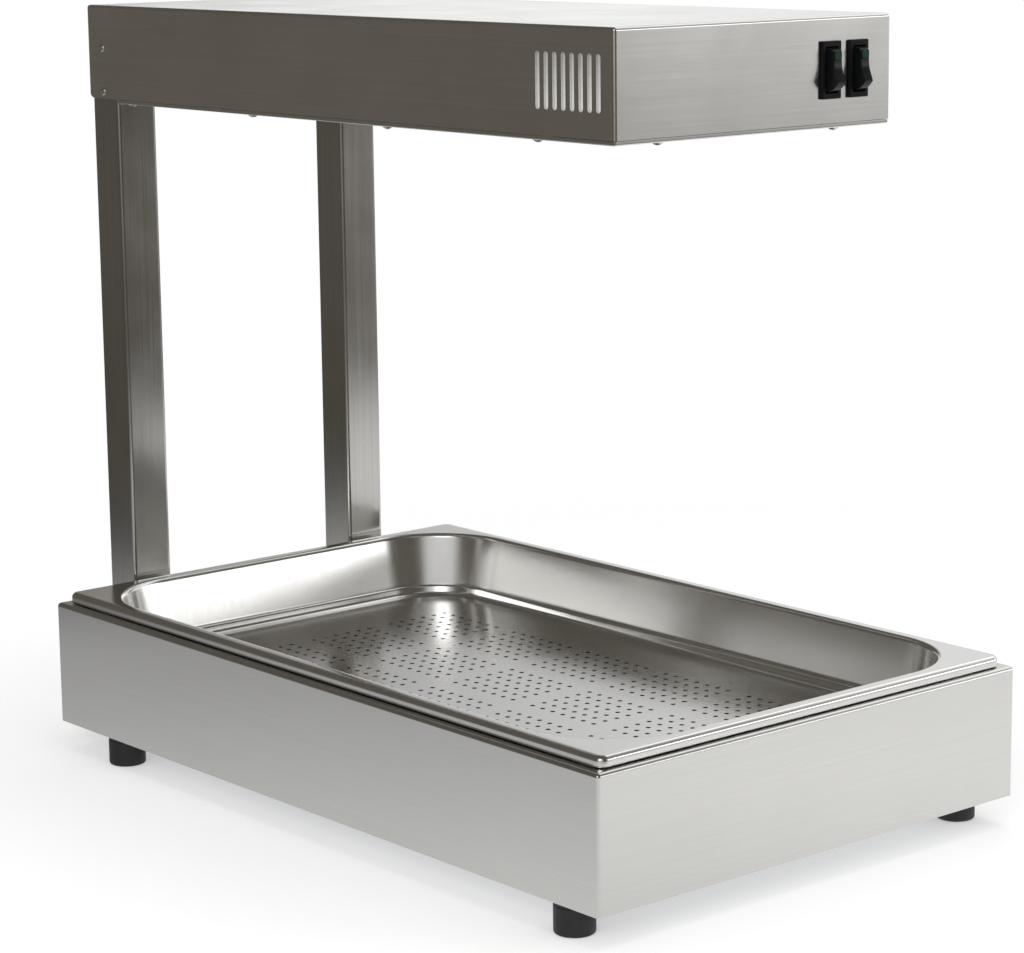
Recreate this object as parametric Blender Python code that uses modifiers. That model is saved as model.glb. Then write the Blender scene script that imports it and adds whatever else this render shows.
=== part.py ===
"""Heated food gantry: a base with a drop-in food pan, two rear posts and a cantilevered heater head.

Metres, +Z up. The front faces -Y. The origin lies on the floor at the centre of the footprint.
"""

import math

import bmesh
import bpy
from mathutils import Matrix, Vector

# General sizes
sheet = 0.0012
gap = 0.0003
overrun = 0.004
edge_steps = 2
round_steps = 12
screw_steps = 6
foot_steps = 12
slot_steps = 2
smooth_angle = math.radians(50.0)
slot_round_share = 0.96
fuse_overlap = 0.0001

# Feet
foot_height = 0.019
foot_radius = 0.012
foot_edge_radius = 0.0015
foot_side_inset = 0.0130
foot_front_inset = 0.034
foot_rear_inset = 0.060
foot_recess_radius = 0.0048
foot_recess_depth = 0.008

# Base housing and bottom plate
base_side_margin = 0.0065
base_end_margin = 0.005
base_height = 0.081
base_edge_radius = 0.0025
base_lip_width = 0.014
base_plate_screw_inset = 0.009
base_slot_count = 4
base_slot_pitch = 0.020
base_slot_width = 0.004
base_slot_length = 0.060
base_slot_centre_share = 0.22

# Food pan
pan_width = 0.325
pan_length = 0.530
pan_sheet = 0.0008
pan_rise = 0.007
pan_lip_height = 0.006
pan_rim_radius = 0.003
pan_rim_corner_radius = 0.005
pan_mouth_inset = 0.0105
pan_mouth_edge_radius = 0.0035
pan_mouth_corner_radius = 0.058
pan_draft_angle = math.radians(11.0)
pan_floor_radius = 0.024
pan_depth = 0.054
pan_corner_steps = 5
pan_seat_inset = 0.0065

# Perforated insert, measured inwards from the pan's mouth and down from its rim
insert_sheet = 0.0008
insert_skirt_inset = 0.010
insert_bead_depth = 0.0345
insert_bead_radius = 0.0022
bead_steps = 4
insert_fillet_radius = 0.005
insert_floor_depth = 0.041
insert_ledge_width = 0.007
hole_radius = 0.0016
hole_sides = 6
hole_pitch = 0.00945
block_columns = 6
block_rows = 7
blocks_across = 3
blocks_along = 5
modelled_columns = 3
modelled_rows = 2

# Base heating plate
heating_plate_thickness = 0.004
heating_plate_clearance = 0.003
heating_plate_inset = 0.045
heating_plate_corner_radius = 0.012
standoff_radius = 0.005
standoff_bore_radius = 0.0022
standoff_inset = 0.020

# Posts
post_size = 0.030
post_wall = 0.0015
post_corner_radius = 0.0025
post_top_clearance = 0.010
plug_flange_thickness = 0.002
plug_depth = 0.006
plug_clearance = 0.0002
post_bolt_radius = 0.0025
post_bolt_head_radius = 0.0045
post_bolt_head_height = 0.0028
post_bolt_length = 0.010
post_bolt_low_share = 0.18
post_bolt_high_share = 0.70
post_nut_radius = 0.0046
post_nut_thickness = 0.004

# Head housing
serving_height = 0.330
head_width = 0.216
head_length = 0.5205
head_height = 0.061
head_edge_radius = 0.002
head_lip_width = 0.011
head_rear_corner_radius = 0.006
vent_count = 8
vent_pitch = 0.0072
vent_width = 0.0042
vent_height = 0.032
vent_centre_inset = 0.038
liner_sheet = 0.0008
liner_margin = 0.003
side_screw_low = 0.0045
side_screw_high = 0.033

# Head bottom panel
panel_sheet = 0.001
panel_drop = 0.0028
panel_edge_inset = 0.0006
panel_corner_radius = 0.002
panel_opening_width = 0.150
panel_screw_inset = 0.008
panel_screw_front_spacing = 0.138
panel_screw_count = 4
panel_screw_first_inset = 0.0721

# Heater compartment
compartment_front_inset = 0.080
compartment_rear_inset = 0.008
lobe_half_width = 0.0355
lobe_spacing = 0.006
lobe_depth = 0.036
lobe_steps = 8
reflector_sheet = 0.0006
reflector_flange_width = 0.006
end_plate_sheet = 0.001
end_plate_height = 0.046
end_plate_width = 0.165
tube_radius = 0.006
tube_apex_drop = 0.013
tube_overhang = 0.020
holder_bore_radius = 0.0063
holder_radius = 0.009
holder_flange_radius = 0.0115
holder_flange_thickness = 0.003
holder_length = 0.014
holder_hole_radius = 0.0093
shield_sheet = 0.0008
shield_half_width = 0.093
shield_top_clearance = 0.009
shield_overhang = 0.002
guard_wire_radius = 0.00125
guard_cross_count = 11
guard_end_margin = 0.012
guard_rail_spacing = 0.060
guard_bearing = 0.0035
guard_wire_steps = 8
guard_rail_rise_share = 1.4

# Rocker switches
switch_count = 2
switch_pitch = 0.0224
switch_side_inset = 0.0267
bezel_width = 0.018
bezel_height = 0.033
bezel_thickness = 0.0018
bezel_edge_radius = 0.0008
switch_body_width = 0.0142
switch_body_height = 0.0296
switch_body_depth = 0.020
switch_cutout_margin = 0.0003
switch_well_margin = 0.0004
switch_well_depth = 0.011
rocker_width = 0.0114
rocker_tip_radius = 0.0130
rocker_pivot_depth = 0.0012
rocker_middle_rise = 0.0038
rocker_tip_rise = 0.0062
rocker_back_depth = 0.005
rocker_arc_steps = 4
rocker_half_angle = math.radians(11.0)
pivot_pin_radius = 0.0011
pivot_hole_radius = 0.0014
pivot_pin_reach = 0.0004
lens_width = 0.0060
lens_height = 0.0040
lens_centre_height = 0.0082
lens_depth = 0.0012
lens_proud = 0.0002
lens_clearance = 0.0002
blade_width = 0.0048
blade_thickness = 0.0008
blade_length = 0.009
blade_count = 3
blade_pitch = 0.008

# Wiring
terminal_block_size = (0.050, 0.016, 0.018)
terminal_block_front_inset = 0.050
terminal_hole_radius = 0.0020
terminal_hole_depth = 0.006
terminal_pole_count = 5
wire_radius = 0.0012
wire_clearance = 0.0002
wire_lead = 0.002
cable_radius = 0.003
cable_hole_radius = 0.005
cable_hole_height = 0.027
cable_turn_steps = 3
cable_turn_radius = 0.008
cable_inner_inset = 0.028
cable_drop_inset = 0.069

# Cable gland
gland_hex_radius = 0.0105
gland_hex_thickness = 0.005
gland_dome_radius = 0.0085
gland_length = 0.020
gland_shank_radius = 0.0075
gland_shank_length = 0.010
gland_bore_radius = 0.0034
gland_x = -0.045
gland_nut_thickness = 0.004

# Small screws
small_screw_radius = 0.0015
small_screw_head_radius = 0.0035
small_screw_head_height = 0.0022
small_screw_length = 0.0065
side_screw_head_height = 0.0012
side_screw_head_radius = 0.0028
foot_screw_radius = 0.0020
foot_screw_head_radius = 0.0040
foot_screw_head_height = 0.0026
foot_nut_radius = 0.0040
foot_nut_thickness = 0.0032
foot_nut_clearance = 0.001
screw_hole_clearance = 0.0003
dome_shares = (0.0, 0.7)

# Places worked out from the sizes above
base_width = pan_width + 2 * base_side_margin
base_length = pan_length + 2 * base_end_margin
overall_depth = base_length + gap + post_size + gap + sheet
base_front = -overall_depth / 2
base_rear = base_front + base_length
base_middle = (base_front + base_rear) / 2
base_bottom = foot_height
base_top = base_bottom + base_height
rim_level = base_top + pan_rise
post_front = base_rear + gap
post_rear = post_front + post_size
post_middle = (post_front + post_rear) / 2
head_rear = post_rear + gap + sheet
head_front = head_rear - head_length
head_middle = (head_front + head_rear) / 2
head_bottom = base_top + serving_height
head_top = head_bottom + head_height
post_x = head_width / 2 - sheet - gap - post_size / 2
post_bottom = base_bottom + plug_flange_thickness + gap
post_top = head_top - sheet - post_top_clearance
panel_bottom = head_bottom - panel_drop
panel_top = panel_bottom + panel_sheet
base_floor_top = base_bottom + sheet
compartment_front = head_front + compartment_front_inset
compartment_rear = post_front - compartment_rear_inset
lobe_level = panel_top + gap + 2 * guard_wire_radius + gap
lobe_x = lobe_half_width + lobe_spacing / 2
lobe_top = lobe_level + lobe_depth
tube_level = lobe_top - tube_apex_drop
shield_top = head_top - sheet - shield_top_clearance
cable_level = base_bottom + cable_hole_height
switch_level = (head_bottom + head_top) / 2
mouth_half_x = pan_width / 2 - pan_mouth_inset
mouth_half_y = pan_length / 2 - pan_mouth_inset

FINISHES = {
    "brushed steel": ((0.60, 0.59, 0.57), 0.32, 1.0),
    "bright steel": ((0.68, 0.67, 0.66), 0.18, 1.0),
    "zinc steel": ((0.55, 0.56, 0.57), 0.40, 1.0),
    "aluminium": ((0.78, 0.79, 0.80), 0.15, 1.0),
    "black rubber": ((0.015, 0.015, 0.016), 0.75, 0.0),
    "black plastic": ((0.012, 0.012, 0.013), 0.35, 0.0),
    "green lens": ((0.02, 0.25, 0.10), 0.15, 0.0),
    "quartz": ((0.80, 0.78, 0.74), 0.20, 0.0),
    "ceramic": ((0.80, 0.77, 0.70), 0.55, 0.0),
    "insulation": ((0.55, 0.50, 0.42), 0.60, 0.0),
}


# Scene helpers

def clear_scene():
    for obj in list(bpy.data.objects):
        bpy.data.objects.remove(obj, do_unlink=True)


def new_collection(name):
    collection = bpy.data.collections.new(name)
    bpy.context.scene.collection.children.link(collection)
    return collection


def finish_material(name, finish):
    colour, roughness, metallic = FINISHES[finish]
    material = bpy.data.materials.new(name)
    material.use_nodes = True
    shader = material.node_tree.nodes["Principled BSDF"]
    shader.inputs["Base Color"].default_value = (*colour, 1.0)
    shader.inputs["Roughness"].default_value = roughness
    shader.inputs["Metallic"].default_value = metallic
    return material


def mesh_of(name, shape):
    """Turn a bmesh into a mesh and free it."""
    mesh = bpy.data.meshes.new(name)
    shape.to_mesh(mesh)
    shape.free()
    return mesh


def add_object(name, mesh, place, collection):
    obj = bpy.data.objects.new(name, mesh)
    obj.location = place
    collection.objects.link(obj)
    return obj


def piece(name, shape, place, finish, smooth=True):
    """A sub-part of the model, from a bmesh or a mesh, with its own material."""
    mesh = shape if isinstance(shape, bpy.types.Mesh) else mesh_of(name, shape)
    obj = add_object(name, mesh, place, parts)
    mesh.materials.clear()
    mesh.materials.append(finish_material(name, finish))
    if smooth:
        mesh.shade_smooth()
        mesh.set_sharp_from_angle(angle=smooth_angle)
    return obj


def tool(name, shape, place=(0.0, 0.0, 0.0)):
    """A shape that only cuts or joins another, left out of the model."""
    mesh = shape if isinstance(shape, bpy.types.Mesh) else mesh_of(name, shape)
    obj = add_object(name, mesh, place, cutters)
    obj.hide_render = True
    obj.display_type = "WIRE"
    return obj


def combine(obj, other, operation):
    modifier = obj.modifiers.new(other.name, "BOOLEAN")
    modifier.operation = operation
    modifier.solver = "EXACT"
    modifier.object = other
    return obj


def cut(obj, other):
    return combine(obj, other, "DIFFERENCE")


def join(obj, other):
    return combine(obj, other, "UNION")


def thicken(obj, thickness, side=-1.0):
    """Give an open surface its thickness, behind the drawn side unless told otherwise."""
    modifier = obj.modifiers.new("thickness", "SOLIDIFY")
    modifier.thickness = thickness
    modifier.offset = side
    modifier.use_even_offset = True
    return obj


# Shape helpers

def edge_axis(edge):
    """The axis that a straight edge runs along: 0, 1 or 2."""
    run = edge.verts[1].co - edge.verts[0].co
    return max(range(3), key=lambda axis: abs(run[axis]))


def upright(edge):
    return edge_axis(edge) == 2


def along_x(edge):
    return edge_axis(edge) == 0


def crowned(edge):
    """The upright edges and those round the top of a box centred on the origin."""
    return upright(edge) or all(vert.co.z > 0.0 for vert in edge.verts)


def front_and_along_y(edge):
    """The edges along Y and those round the front of a box centred on the origin."""
    return edge_axis(edge) == 1 or all(vert.co.y < 0.0 for vert in edge.verts)


def add_block(shape, size, centre=(0.0, 0.0, 0.0), radius=0.0, steps=edge_steps, rounded=upright):
    """A box, with the edges that the test picks rounded off."""
    matrix = Matrix.Translation(centre) @ Matrix.Diagonal((*size, 1.0))
    made = bmesh.ops.create_cube(shape, size=1.0, matrix=matrix)
    if radius > 0.0:
        edges = {edge for vert in made["verts"] for edge in vert.link_edges if rounded(edge)}
        bmesh.ops.bevel(shape, geom=list(edges), offset=radius, segments=steps, profile=0.5, affect="EDGES")
    return shape


def block(size, centre=(0.0, 0.0, 0.0), radius=0.0, steps=edge_steps, rounded=upright):
    return add_block(bmesh.new(), size, centre, radius, steps, rounded)


def turn_to(direction):
    """The rotation that takes +Z to a direction."""
    return Vector((0.0, 0.0, 1.0)).rotation_difference(Vector(direction)).to_matrix().to_4x4()


def add_cylinder(shape, radius, length, centre, direction=(0.0, 0.0, 1.0), sides=round_steps):
    matrix = Matrix.Translation(centre) @ turn_to(direction)
    bmesh.ops.create_cone(
        shape, cap_ends=True, segments=sides, radius1=radius, radius2=radius, depth=length, matrix=matrix
    )
    return shape


def cylinders(radius, length, centres, direction=(0.0, 0.0, 1.0), sides=round_steps):
    shape = bmesh.new()
    for centre in centres:
        add_cylinder(shape, radius, length, centre, direction, sides)
    return shape


def ring(half_x, half_y, radius, level, steps):
    """A rounded rectangle as a loop of points, anticlockwise from +X."""
    points = []
    for quarter, (side_x, side_y) in enumerate(((1, 1), (-1, 1), (-1, -1), (1, -1))):
        for step in range(steps + 1):
            angle = math.pi / 2 * (quarter + step / steps)
            x = side_x * (half_x - radius) + radius * math.cos(angle)
            y = side_y * (half_y - radius) + radius * math.sin(angle)
            points.append((x, y, level))
    return points


def loft(rings, cap_last=False):
    """An open surface through loops of equal count, with the last loop filled if asked."""
    shape = bmesh.new()
    loops = [[shape.verts.new(point) for point in points] for points in rings]
    count = len(loops[0])
    for low, high in zip(loops, loops[1:]):
        for index in range(count):
            after = (index + 1) % count
            shape.faces.new((low[index], low[after], high[after], high[index]))
    if cap_last:
        shape.faces.new(loops[-1])
    return shape


def folded_sheet(outline, length):
    """An open surface: an outline of (x, z) points drawn along Y, its upper side outermost."""
    shape = bmesh.new()
    front = [shape.verts.new((x, -length / 2, z)) for x, z in outline]
    rear = [shape.verts.new((x, length / 2, z)) for x, z in outline]
    for index in range(len(outline) - 1):
        shape.faces.new((front[index], front[index + 1], rear[index + 1], rear[index]))
    return shape


def arc(centre, radius, start, end, steps):
    """Points on an arc from one angle to another, both included."""
    angles = [start + (end - start) * step / steps for step in range(steps + 1)]
    return [(centre[0] + radius * math.cos(angle), centre[1] + radius * math.sin(angle)) for angle in angles]


def turned(name, profile, steps=round_steps, closed=False):
    """A mesh turned round Z from (radius, height) points that run down the outer side."""
    count = len(profile)
    edges = [(index, index + 1) for index in range(count - 1)]
    if closed:
        edges.append((count - 1, 0))
    mesh = bpy.data.meshes.new(name)
    mesh.from_pydata([(radius, 0.0, height) for radius, height in profile], edges, [])
    source = add_object(name, mesh, (0.0, 0.0, 0.0), cutters)
    modifier = source.modifiers.new("turn", "SCREW")
    modifier.angle = 2 * math.pi
    modifier.steps = steps
    modifier.render_steps = steps
    modifier.use_merge_vertices = True
    modifier.merge_threshold = 0.00001
    result = bpy.data.meshes.new_from_object(source.evaluated_get(bpy.context.evaluated_depsgraph_get()))
    bpy.data.objects.remove(source, do_unlink=True)
    return result


def group(mesh, places):
    """Separate copies of one mesh, each set at a point with its +Z along a direction."""
    shape = bmesh.new()
    for point, direction in places:
        before = len(shape.verts)
        shape.from_mesh(mesh)
        shape.verts.ensure_lookup_table()
        matrix = Matrix.Translation(point) @ turn_to(direction)
        bmesh.ops.transform(shape, matrix=matrix, verts=shape.verts[before:])
    return shape


def turned_piece(name, mesh, point, direction, finish):
    """A sub-part made from a turned mesh, with its +Z along a direction."""
    obj = piece(name, mesh.copy(), point, finish)
    obj.rotation_euler = turn_to(direction).to_euler()
    return obj


def extruded_outline(outline, half_width):
    """A closed shape: (y, z) points drawn along X to both sides of the middle."""
    shape = bmesh.new()
    face = shape.faces.new([shape.verts.new((-half_width, y, z)) for y, z in outline])
    moved = bmesh.ops.extrude_face_region(shape, geom=[face])["geom"]
    moved_verts = [item for item in moved if isinstance(item, bmesh.types.BMVert)]
    bmesh.ops.translate(shape, vec=(2 * half_width, 0.0, 0.0), verts=moved_verts)
    bmesh.ops.recalc_face_normals(shape, faces=shape.faces)
    return shape


def screw_mesh(name, radius, length, head_radius, head_height):
    """A domed screw whose head stands on z = 0 and whose shank runs down from it."""
    dome = [(head_radius * share, head_height * math.sqrt(1 - share * share)) for share in dome_shares]
    profile = dome + [(head_radius, 0.0), (radius, 0.0), (radius, -length), (0.0, -length)]
    return turned(name, profile, screw_steps)


def hole_corner(radius, sides):
    """The radius to the corners of a flat-sided hole that clears a round one."""
    return radius / math.cos(math.pi / sides)


def screw_hole(radius):
    """The radius to the corners of the clearance hole for a screw."""
    return hole_corner(radius + screw_hole_clearance, screw_steps)


def bored(name, radius, bore_radius, thickness, sides):
    """A ring or a nut standing on z = 0, whose flat-sided bore clears the bore's radius."""
    corner = hole_corner(bore_radius, sides)
    profile = [(radius, thickness), (radius, 0.0), (corner, 0.0), (corner, thickness)]
    return turned(name, profile, sides, closed=True)


# Base

def make_base_housing():
    height_middle = (base_bottom + base_top) / 2
    shell = block((base_width, base_length, base_height), radius=base_edge_radius, rounded=crowned)
    housing = piece("base_housing", shell, (0.0, base_middle, height_middle), "brushed steel")

    seat_half_x = pan_width / 2 - pan_seat_inset
    seat_half_y = pan_length / 2 - pan_seat_inset
    seat_corner = pan_mouth_corner_radius + pan_mouth_inset - pan_seat_inset
    collar_top = rim_level - pan_sheet - gap
    collar_bottom = base_top - sheet / 2
    collar = block(
        (2 * (seat_half_x + sheet), 2 * (seat_half_y + sheet), collar_top - collar_bottom),
        radius=seat_corner + sheet,
        steps=pan_corner_steps,
    )
    join(housing, tool("collar_outer", collar, (0.0, base_middle, (collar_top + collar_bottom) / 2)))

    lip_bottom = base_bottom + sheet + gap
    cavity_bottom = lip_bottom + sheet
    cavity_top = base_top - sheet
    cavity = block(
        (base_width - 2 * sheet, base_length - 2 * sheet, cavity_top - cavity_bottom),
        radius=base_edge_radius - sheet,
        rounded=crowned,
    )
    cut(housing, tool("base_cavity", cavity, (0.0, base_middle, (cavity_top + cavity_bottom) / 2)))

    recess_bottom = base_bottom - overrun
    recess = block(
        (base_width - 2 * sheet, base_length - 2 * sheet, lip_bottom - recess_bottom),
        radius=base_edge_radius - sheet,
    )
    cut(housing, tool("base_recess", recess, (0.0, base_middle, (lip_bottom + recess_bottom) / 2)))

    hatch = block(
        (base_width - 2 * base_lip_width, base_length - 2 * base_lip_width, 2 * overrun),
        radius=base_edge_radius,
    )
    cut(housing, tool("base_hatch", hatch, (0.0, base_middle, (lip_bottom + cavity_bottom) / 2)))

    well = block(
        (2 * seat_half_x, 2 * seat_half_y, pan_rise + overrun + 2 * overrun),
        radius=seat_corner,
        steps=pan_corner_steps,
    )
    cut(housing, tool("base_well", well, (0.0, base_middle, base_top + overrun / 2)))

    rear_wall = base_rear - sheet / 2
    bolt_holes = cylinders(
        screw_hole(post_bolt_radius),
        2 * overrun,
        [(x, rear_wall, z) for x, z in post_bolt_places()],
        (0.0, 1.0, 0.0),
        screw_steps,
    )
    cut(housing, tool("base_bolt_holes", bolt_holes))
    cable_place = [(post_x, rear_wall, cable_level)]
    cable_hole = cylinders(cable_hole_radius, 2 * overrun, cable_place, (0.0, 1.0, 0.0))
    cut(housing, tool("base_cable_hole", cable_hole))
    gland_place = [(gland_x, rear_wall, cable_level)]
    gland_hole = cylinders(gland_shank_radius + gap, 2 * overrun, gland_place, (0.0, 1.0, 0.0))
    cut(housing, tool("base_gland_hole", gland_hole))
    screw_holes = cylinders(
        screw_hole(small_screw_radius),
        2 * overrun,
        [(x, y, lip_bottom) for x, y in base_plate_screw_places()],
        sides=screw_steps,
    )
    cut(housing, tool("base_screw_holes", screw_holes))
    centres = [(x, y, lip_bottom) for x, y in foot_places()]
    nut_room = cylinders(foot_nut_radius + foot_nut_clearance, 2 * overrun, centres)
    cut(housing, tool("base_foot_nut_room", nut_room))
    return housing


def base_plate_screw_places():
    side = base_width / 2 - base_plate_screw_inset
    end = base_length / 2 - base_plate_screw_inset
    sides = [(x, base_middle + y) for x in (-side, side) for y in (-end / 2, end / 2)]
    ends = [(x, base_middle + y) for y in (-end, end) for x in (-side / 2, side / 2)]
    return sides + ends


def foot_places():
    x = base_width / 2 - foot_side_inset
    front = base_front + foot_front_inset
    rear = base_rear - foot_rear_inset
    return [(-x, front), (x, front), (-x, rear), (x, rear)]


def make_base_bottom_plate():
    """The plate that closes the base, with its screws and the feet's weld nuts."""
    plate = block(
        (base_width - 2 * sheet - 2 * gap, base_length - 2 * sheet - 2 * gap, sheet),
        radius=base_edge_radius - sheet,
    )
    obj = piece("base_bottom_plate", plate, (0.0, base_middle, base_bottom + sheet / 2), "zinc steel")
    slots = bmesh.new()
    for side in (-1, 1):
        for index in range(base_slot_count):
            y = base_middle + side * base_slot_centre_share * base_length
            y += (index - (base_slot_count - 1) / 2) * base_slot_pitch
            size = (base_slot_length, base_slot_width, 2 * overrun)
            add_block(slots, size, (0.0, y, base_bottom), slot_round_share * base_slot_width / 2, slot_steps)
    cut(obj, tool("plate_slots", slots))

    screw = screw_mesh(
        "base_plate_screw",
        small_screw_radius,
        small_screw_length,
        small_screw_head_radius,
        small_screw_head_height,
    )
    downwards = (0.0, 0.0, -1.0)
    level = base_bottom + fuse_overlap
    screws = group(screw, [((x, y, level), downwards) for x, y in base_plate_screw_places()])
    join(obj, tool("base_plate_screws", screws))
    centres = [(x, y, base_floor_top + foot_nut_thickness / 2 - fuse_overlap) for x, y in foot_places()]
    join(obj, tool("foot_nuts", cylinders(foot_nut_radius, foot_nut_thickness, centres, sides=6)))
    bore = screw_hole(foot_screw_radius)
    reach = 2 * (sheet + foot_nut_thickness + overrun)
    centres = [(x, y, base_bottom) for x, y in foot_places()]
    cut(obj, tool("plate_foot_holes", cylinders(bore, reach, centres, sides=screw_steps)))


def make_feet():
    height = foot_height - gap
    bore = screw_hole(foot_screw_radius)
    centre = (foot_radius - foot_edge_radius, foot_edge_radius)
    lower_edge = arc(centre, foot_edge_radius, 0.0, -math.pi / 2, edge_steps)
    recess = [(foot_recess_radius, 0.0), (foot_recess_radius, foot_recess_depth), (bore, foot_recess_depth)]
    profile = [(bore, height), (foot_radius, height)] + lower_edge + recess
    foot = turned("foot", profile, foot_steps, closed=True)
    shank = base_floor_top - foot_recess_depth + foot_nut_thickness + 2 * gap
    screw = screw_mesh(
        "foot_screw", foot_screw_radius, shank, foot_screw_head_radius, foot_screw_head_height
    )
    for number, (x, y) in enumerate(foot_places(), 1):
        turned_piece(f"foot_{number}", foot, (x, y, 0.0), (0.0, 0.0, 1.0), "black rubber")
        place = (x, y, foot_recess_depth - gap)
        turned_piece(f"foot_screw_{number}", screw, place, (0.0, 0.0, -1.0), "zinc steel")


# Pan and insert

def pan_ring(inset, corner, depth):
    """A loop of the pan, by its inset from the mouth and its depth under the rim."""
    return ring(mouth_half_x - inset, mouth_half_y - inset, corner, -depth, pan_corner_steps)


def floor_arc():
    """The centre of the pan's floor radius (inset, depth) and the depth where it meets the wall."""
    depth = pan_depth - pan_floor_radius
    meeting = depth + pan_floor_radius * math.sin(pan_draft_angle)
    meeting_inset = (meeting - pan_mouth_edge_radius) * math.tan(pan_draft_angle)
    return meeting_inset + pan_floor_radius * math.cos(pan_draft_angle), depth


def make_pan():
    lip_corner = pan_rim_corner_radius
    outer = -pan_mouth_inset
    rings = [pan_ring(outer, lip_corner, pan_lip_height)]
    for across, up in arc((0.0, 0.0), pan_rim_radius, 0.0, math.pi / 2, edge_steps):
        inset = outer + pan_rim_radius - across
        rings.append(pan_ring(inset, lip_corner - pan_rim_radius + across, pan_rim_radius - up))
    mouth_edge = pan_mouth_edge_radius
    for across, up in arc((0.0, 0.0), mouth_edge, math.pi / 2, math.pi, edge_steps):
        inset = -mouth_edge - across
        rings.append(pan_ring(inset, pan_mouth_corner_radius - inset, mouth_edge - up))
    centre_inset, centre_depth = floor_arc()
    sweep = arc((0.0, 0.0), pan_floor_radius, pan_draft_angle, math.pi / 2, pan_corner_steps)
    for across, down in sweep:
        inset = centre_inset - across
        rings.append(pan_ring(inset, pan_mouth_corner_radius - inset, centre_depth + down))
    pan = piece("pan", loft(rings, cap_last=True), (0.0, base_middle, rim_level), "bright steel")
    return thicken(pan, pan_sheet)


def make_insert(pan):
    centre_inset, centre_depth = floor_arc()
    reach = centre_inset - insert_skirt_inset
    skirt_depth = centre_depth + math.sqrt((pan_floor_radius - gap) ** 2 - reach**2)
    bead_depth = insert_bead_depth + insert_bead_radius
    bead_inset = insert_skirt_inset + insert_bead_radius
    ledge_depth = insert_floor_depth + insert_sheet + gap
    fillet_depth = ledge_depth - insert_fillet_radius
    fillet_inset = bead_inset + insert_bead_radius + insert_fillet_radius
    profile = [(insert_skirt_inset, skirt_depth)]
    for across, up in arc((0.0, 0.0), insert_bead_radius, 0.0, math.pi, bead_steps):
        profile.append((bead_inset - across, bead_depth - up))
    for across, down in arc((0.0, 0.0), insert_fillet_radius, 0.0, math.pi / 2, edge_steps):
        profile.append((fillet_inset - across, fillet_depth + down))
    profile.append((fillet_inset + insert_ledge_width, ledge_depth))
    rings = [pan_ring(inset, pan_mouth_corner_radius - inset, depth) for inset, depth in profile]
    frame = piece("insert_frame", loft(rings), (0.0, 0.0, 0.0), "bright steel")
    frame.parent = pan
    thicken(frame, insert_sheet)

    plate_inset = fillet_inset + gap
    plate = block(
        (2 * (mouth_half_x - plate_inset), 2 * (mouth_half_y - plate_inset), insert_sheet),
        radius=pan_mouth_corner_radius - plate_inset,
        steps=pan_corner_steps,
    )
    level = -insert_floor_depth - insert_sheet / 2
    floor = piece("insert_floor", plate, (0.0, 0.0, level), "bright steel", smooth=False)
    floor.parent = pan
    holes = cylinders(hole_radius, 2 * overrun, hole_places(), sides=hole_sides)
    cut(floor, tool("insert_holes", holes, (0.0, base_middle, rim_level + level)))


def hole_places():
    """Centres of the modelled holes: blocks with one pitch left plain between them."""
    span_x = (block_columns - 1) * hole_pitch
    span_y = (block_rows - 1) * hole_pitch
    places = []
    for block_x in range(blocks_across):
        middle_x = (block_x - (blocks_across - 1) / 2) * (block_columns + 1) * hole_pitch
        for block_y in range(blocks_along):
            middle_y = (block_y - (blocks_along - 1) / 2) * (block_rows + 1) * hole_pitch
            for column in range(modelled_columns):
                x = middle_x + (column / (modelled_columns - 1) - 1 / 2) * span_x
                for row in range(modelled_rows):
                    y = middle_y + (row / (modelled_rows - 1) - 1 / 2) * span_y
                    places.append((x, y, 0.0))
    return places


def make_heating_plate():
    top = rim_level - pan_depth - pan_sheet - heating_plate_clearance
    size_x = pan_width - 2 * heating_plate_inset
    size_y = pan_length - 2 * heating_plate_inset
    plate = block((size_x, size_y, heating_plate_thickness), radius=heating_plate_corner_radius)
    level = top - heating_plate_thickness / 2
    piece("base_heating_plate", plate, (0.0, base_middle, level), "aluminium")
    low = base_floor_top + gap
    high = top - heating_plate_thickness - gap
    spacer = bored("heating_plate_spacer", standoff_radius, standoff_bore_radius, high - low, round_steps)
    x = size_x / 2 - standoff_inset
    y = size_y / 2 - standoff_inset
    corners = [(side * x, base_middle + end * y, low) for side in (-1, 1) for end in (-1, 1)]
    for number, corner in enumerate(corners, 1):
        turned_piece(f"heating_plate_spacer_{number}", spacer, corner, (0.0, 0.0, 1.0), "ceramic")


# Posts

def post_bolt_places():
    """(x, z) of the bolts that hold each post to the base's rear wall."""
    levels = [base_bottom + share * base_height for share in (post_bolt_low_share, post_bolt_high_share)]
    return [(x, z) for x in (-post_x, post_x) for z in levels]


def side_screw_places():
    """(side, z) of the screws that hold the head to the posts."""
    return [(side, head_bottom + z) for side in (-1, 1) for z in (side_screw_low, side_screw_high)]


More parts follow.
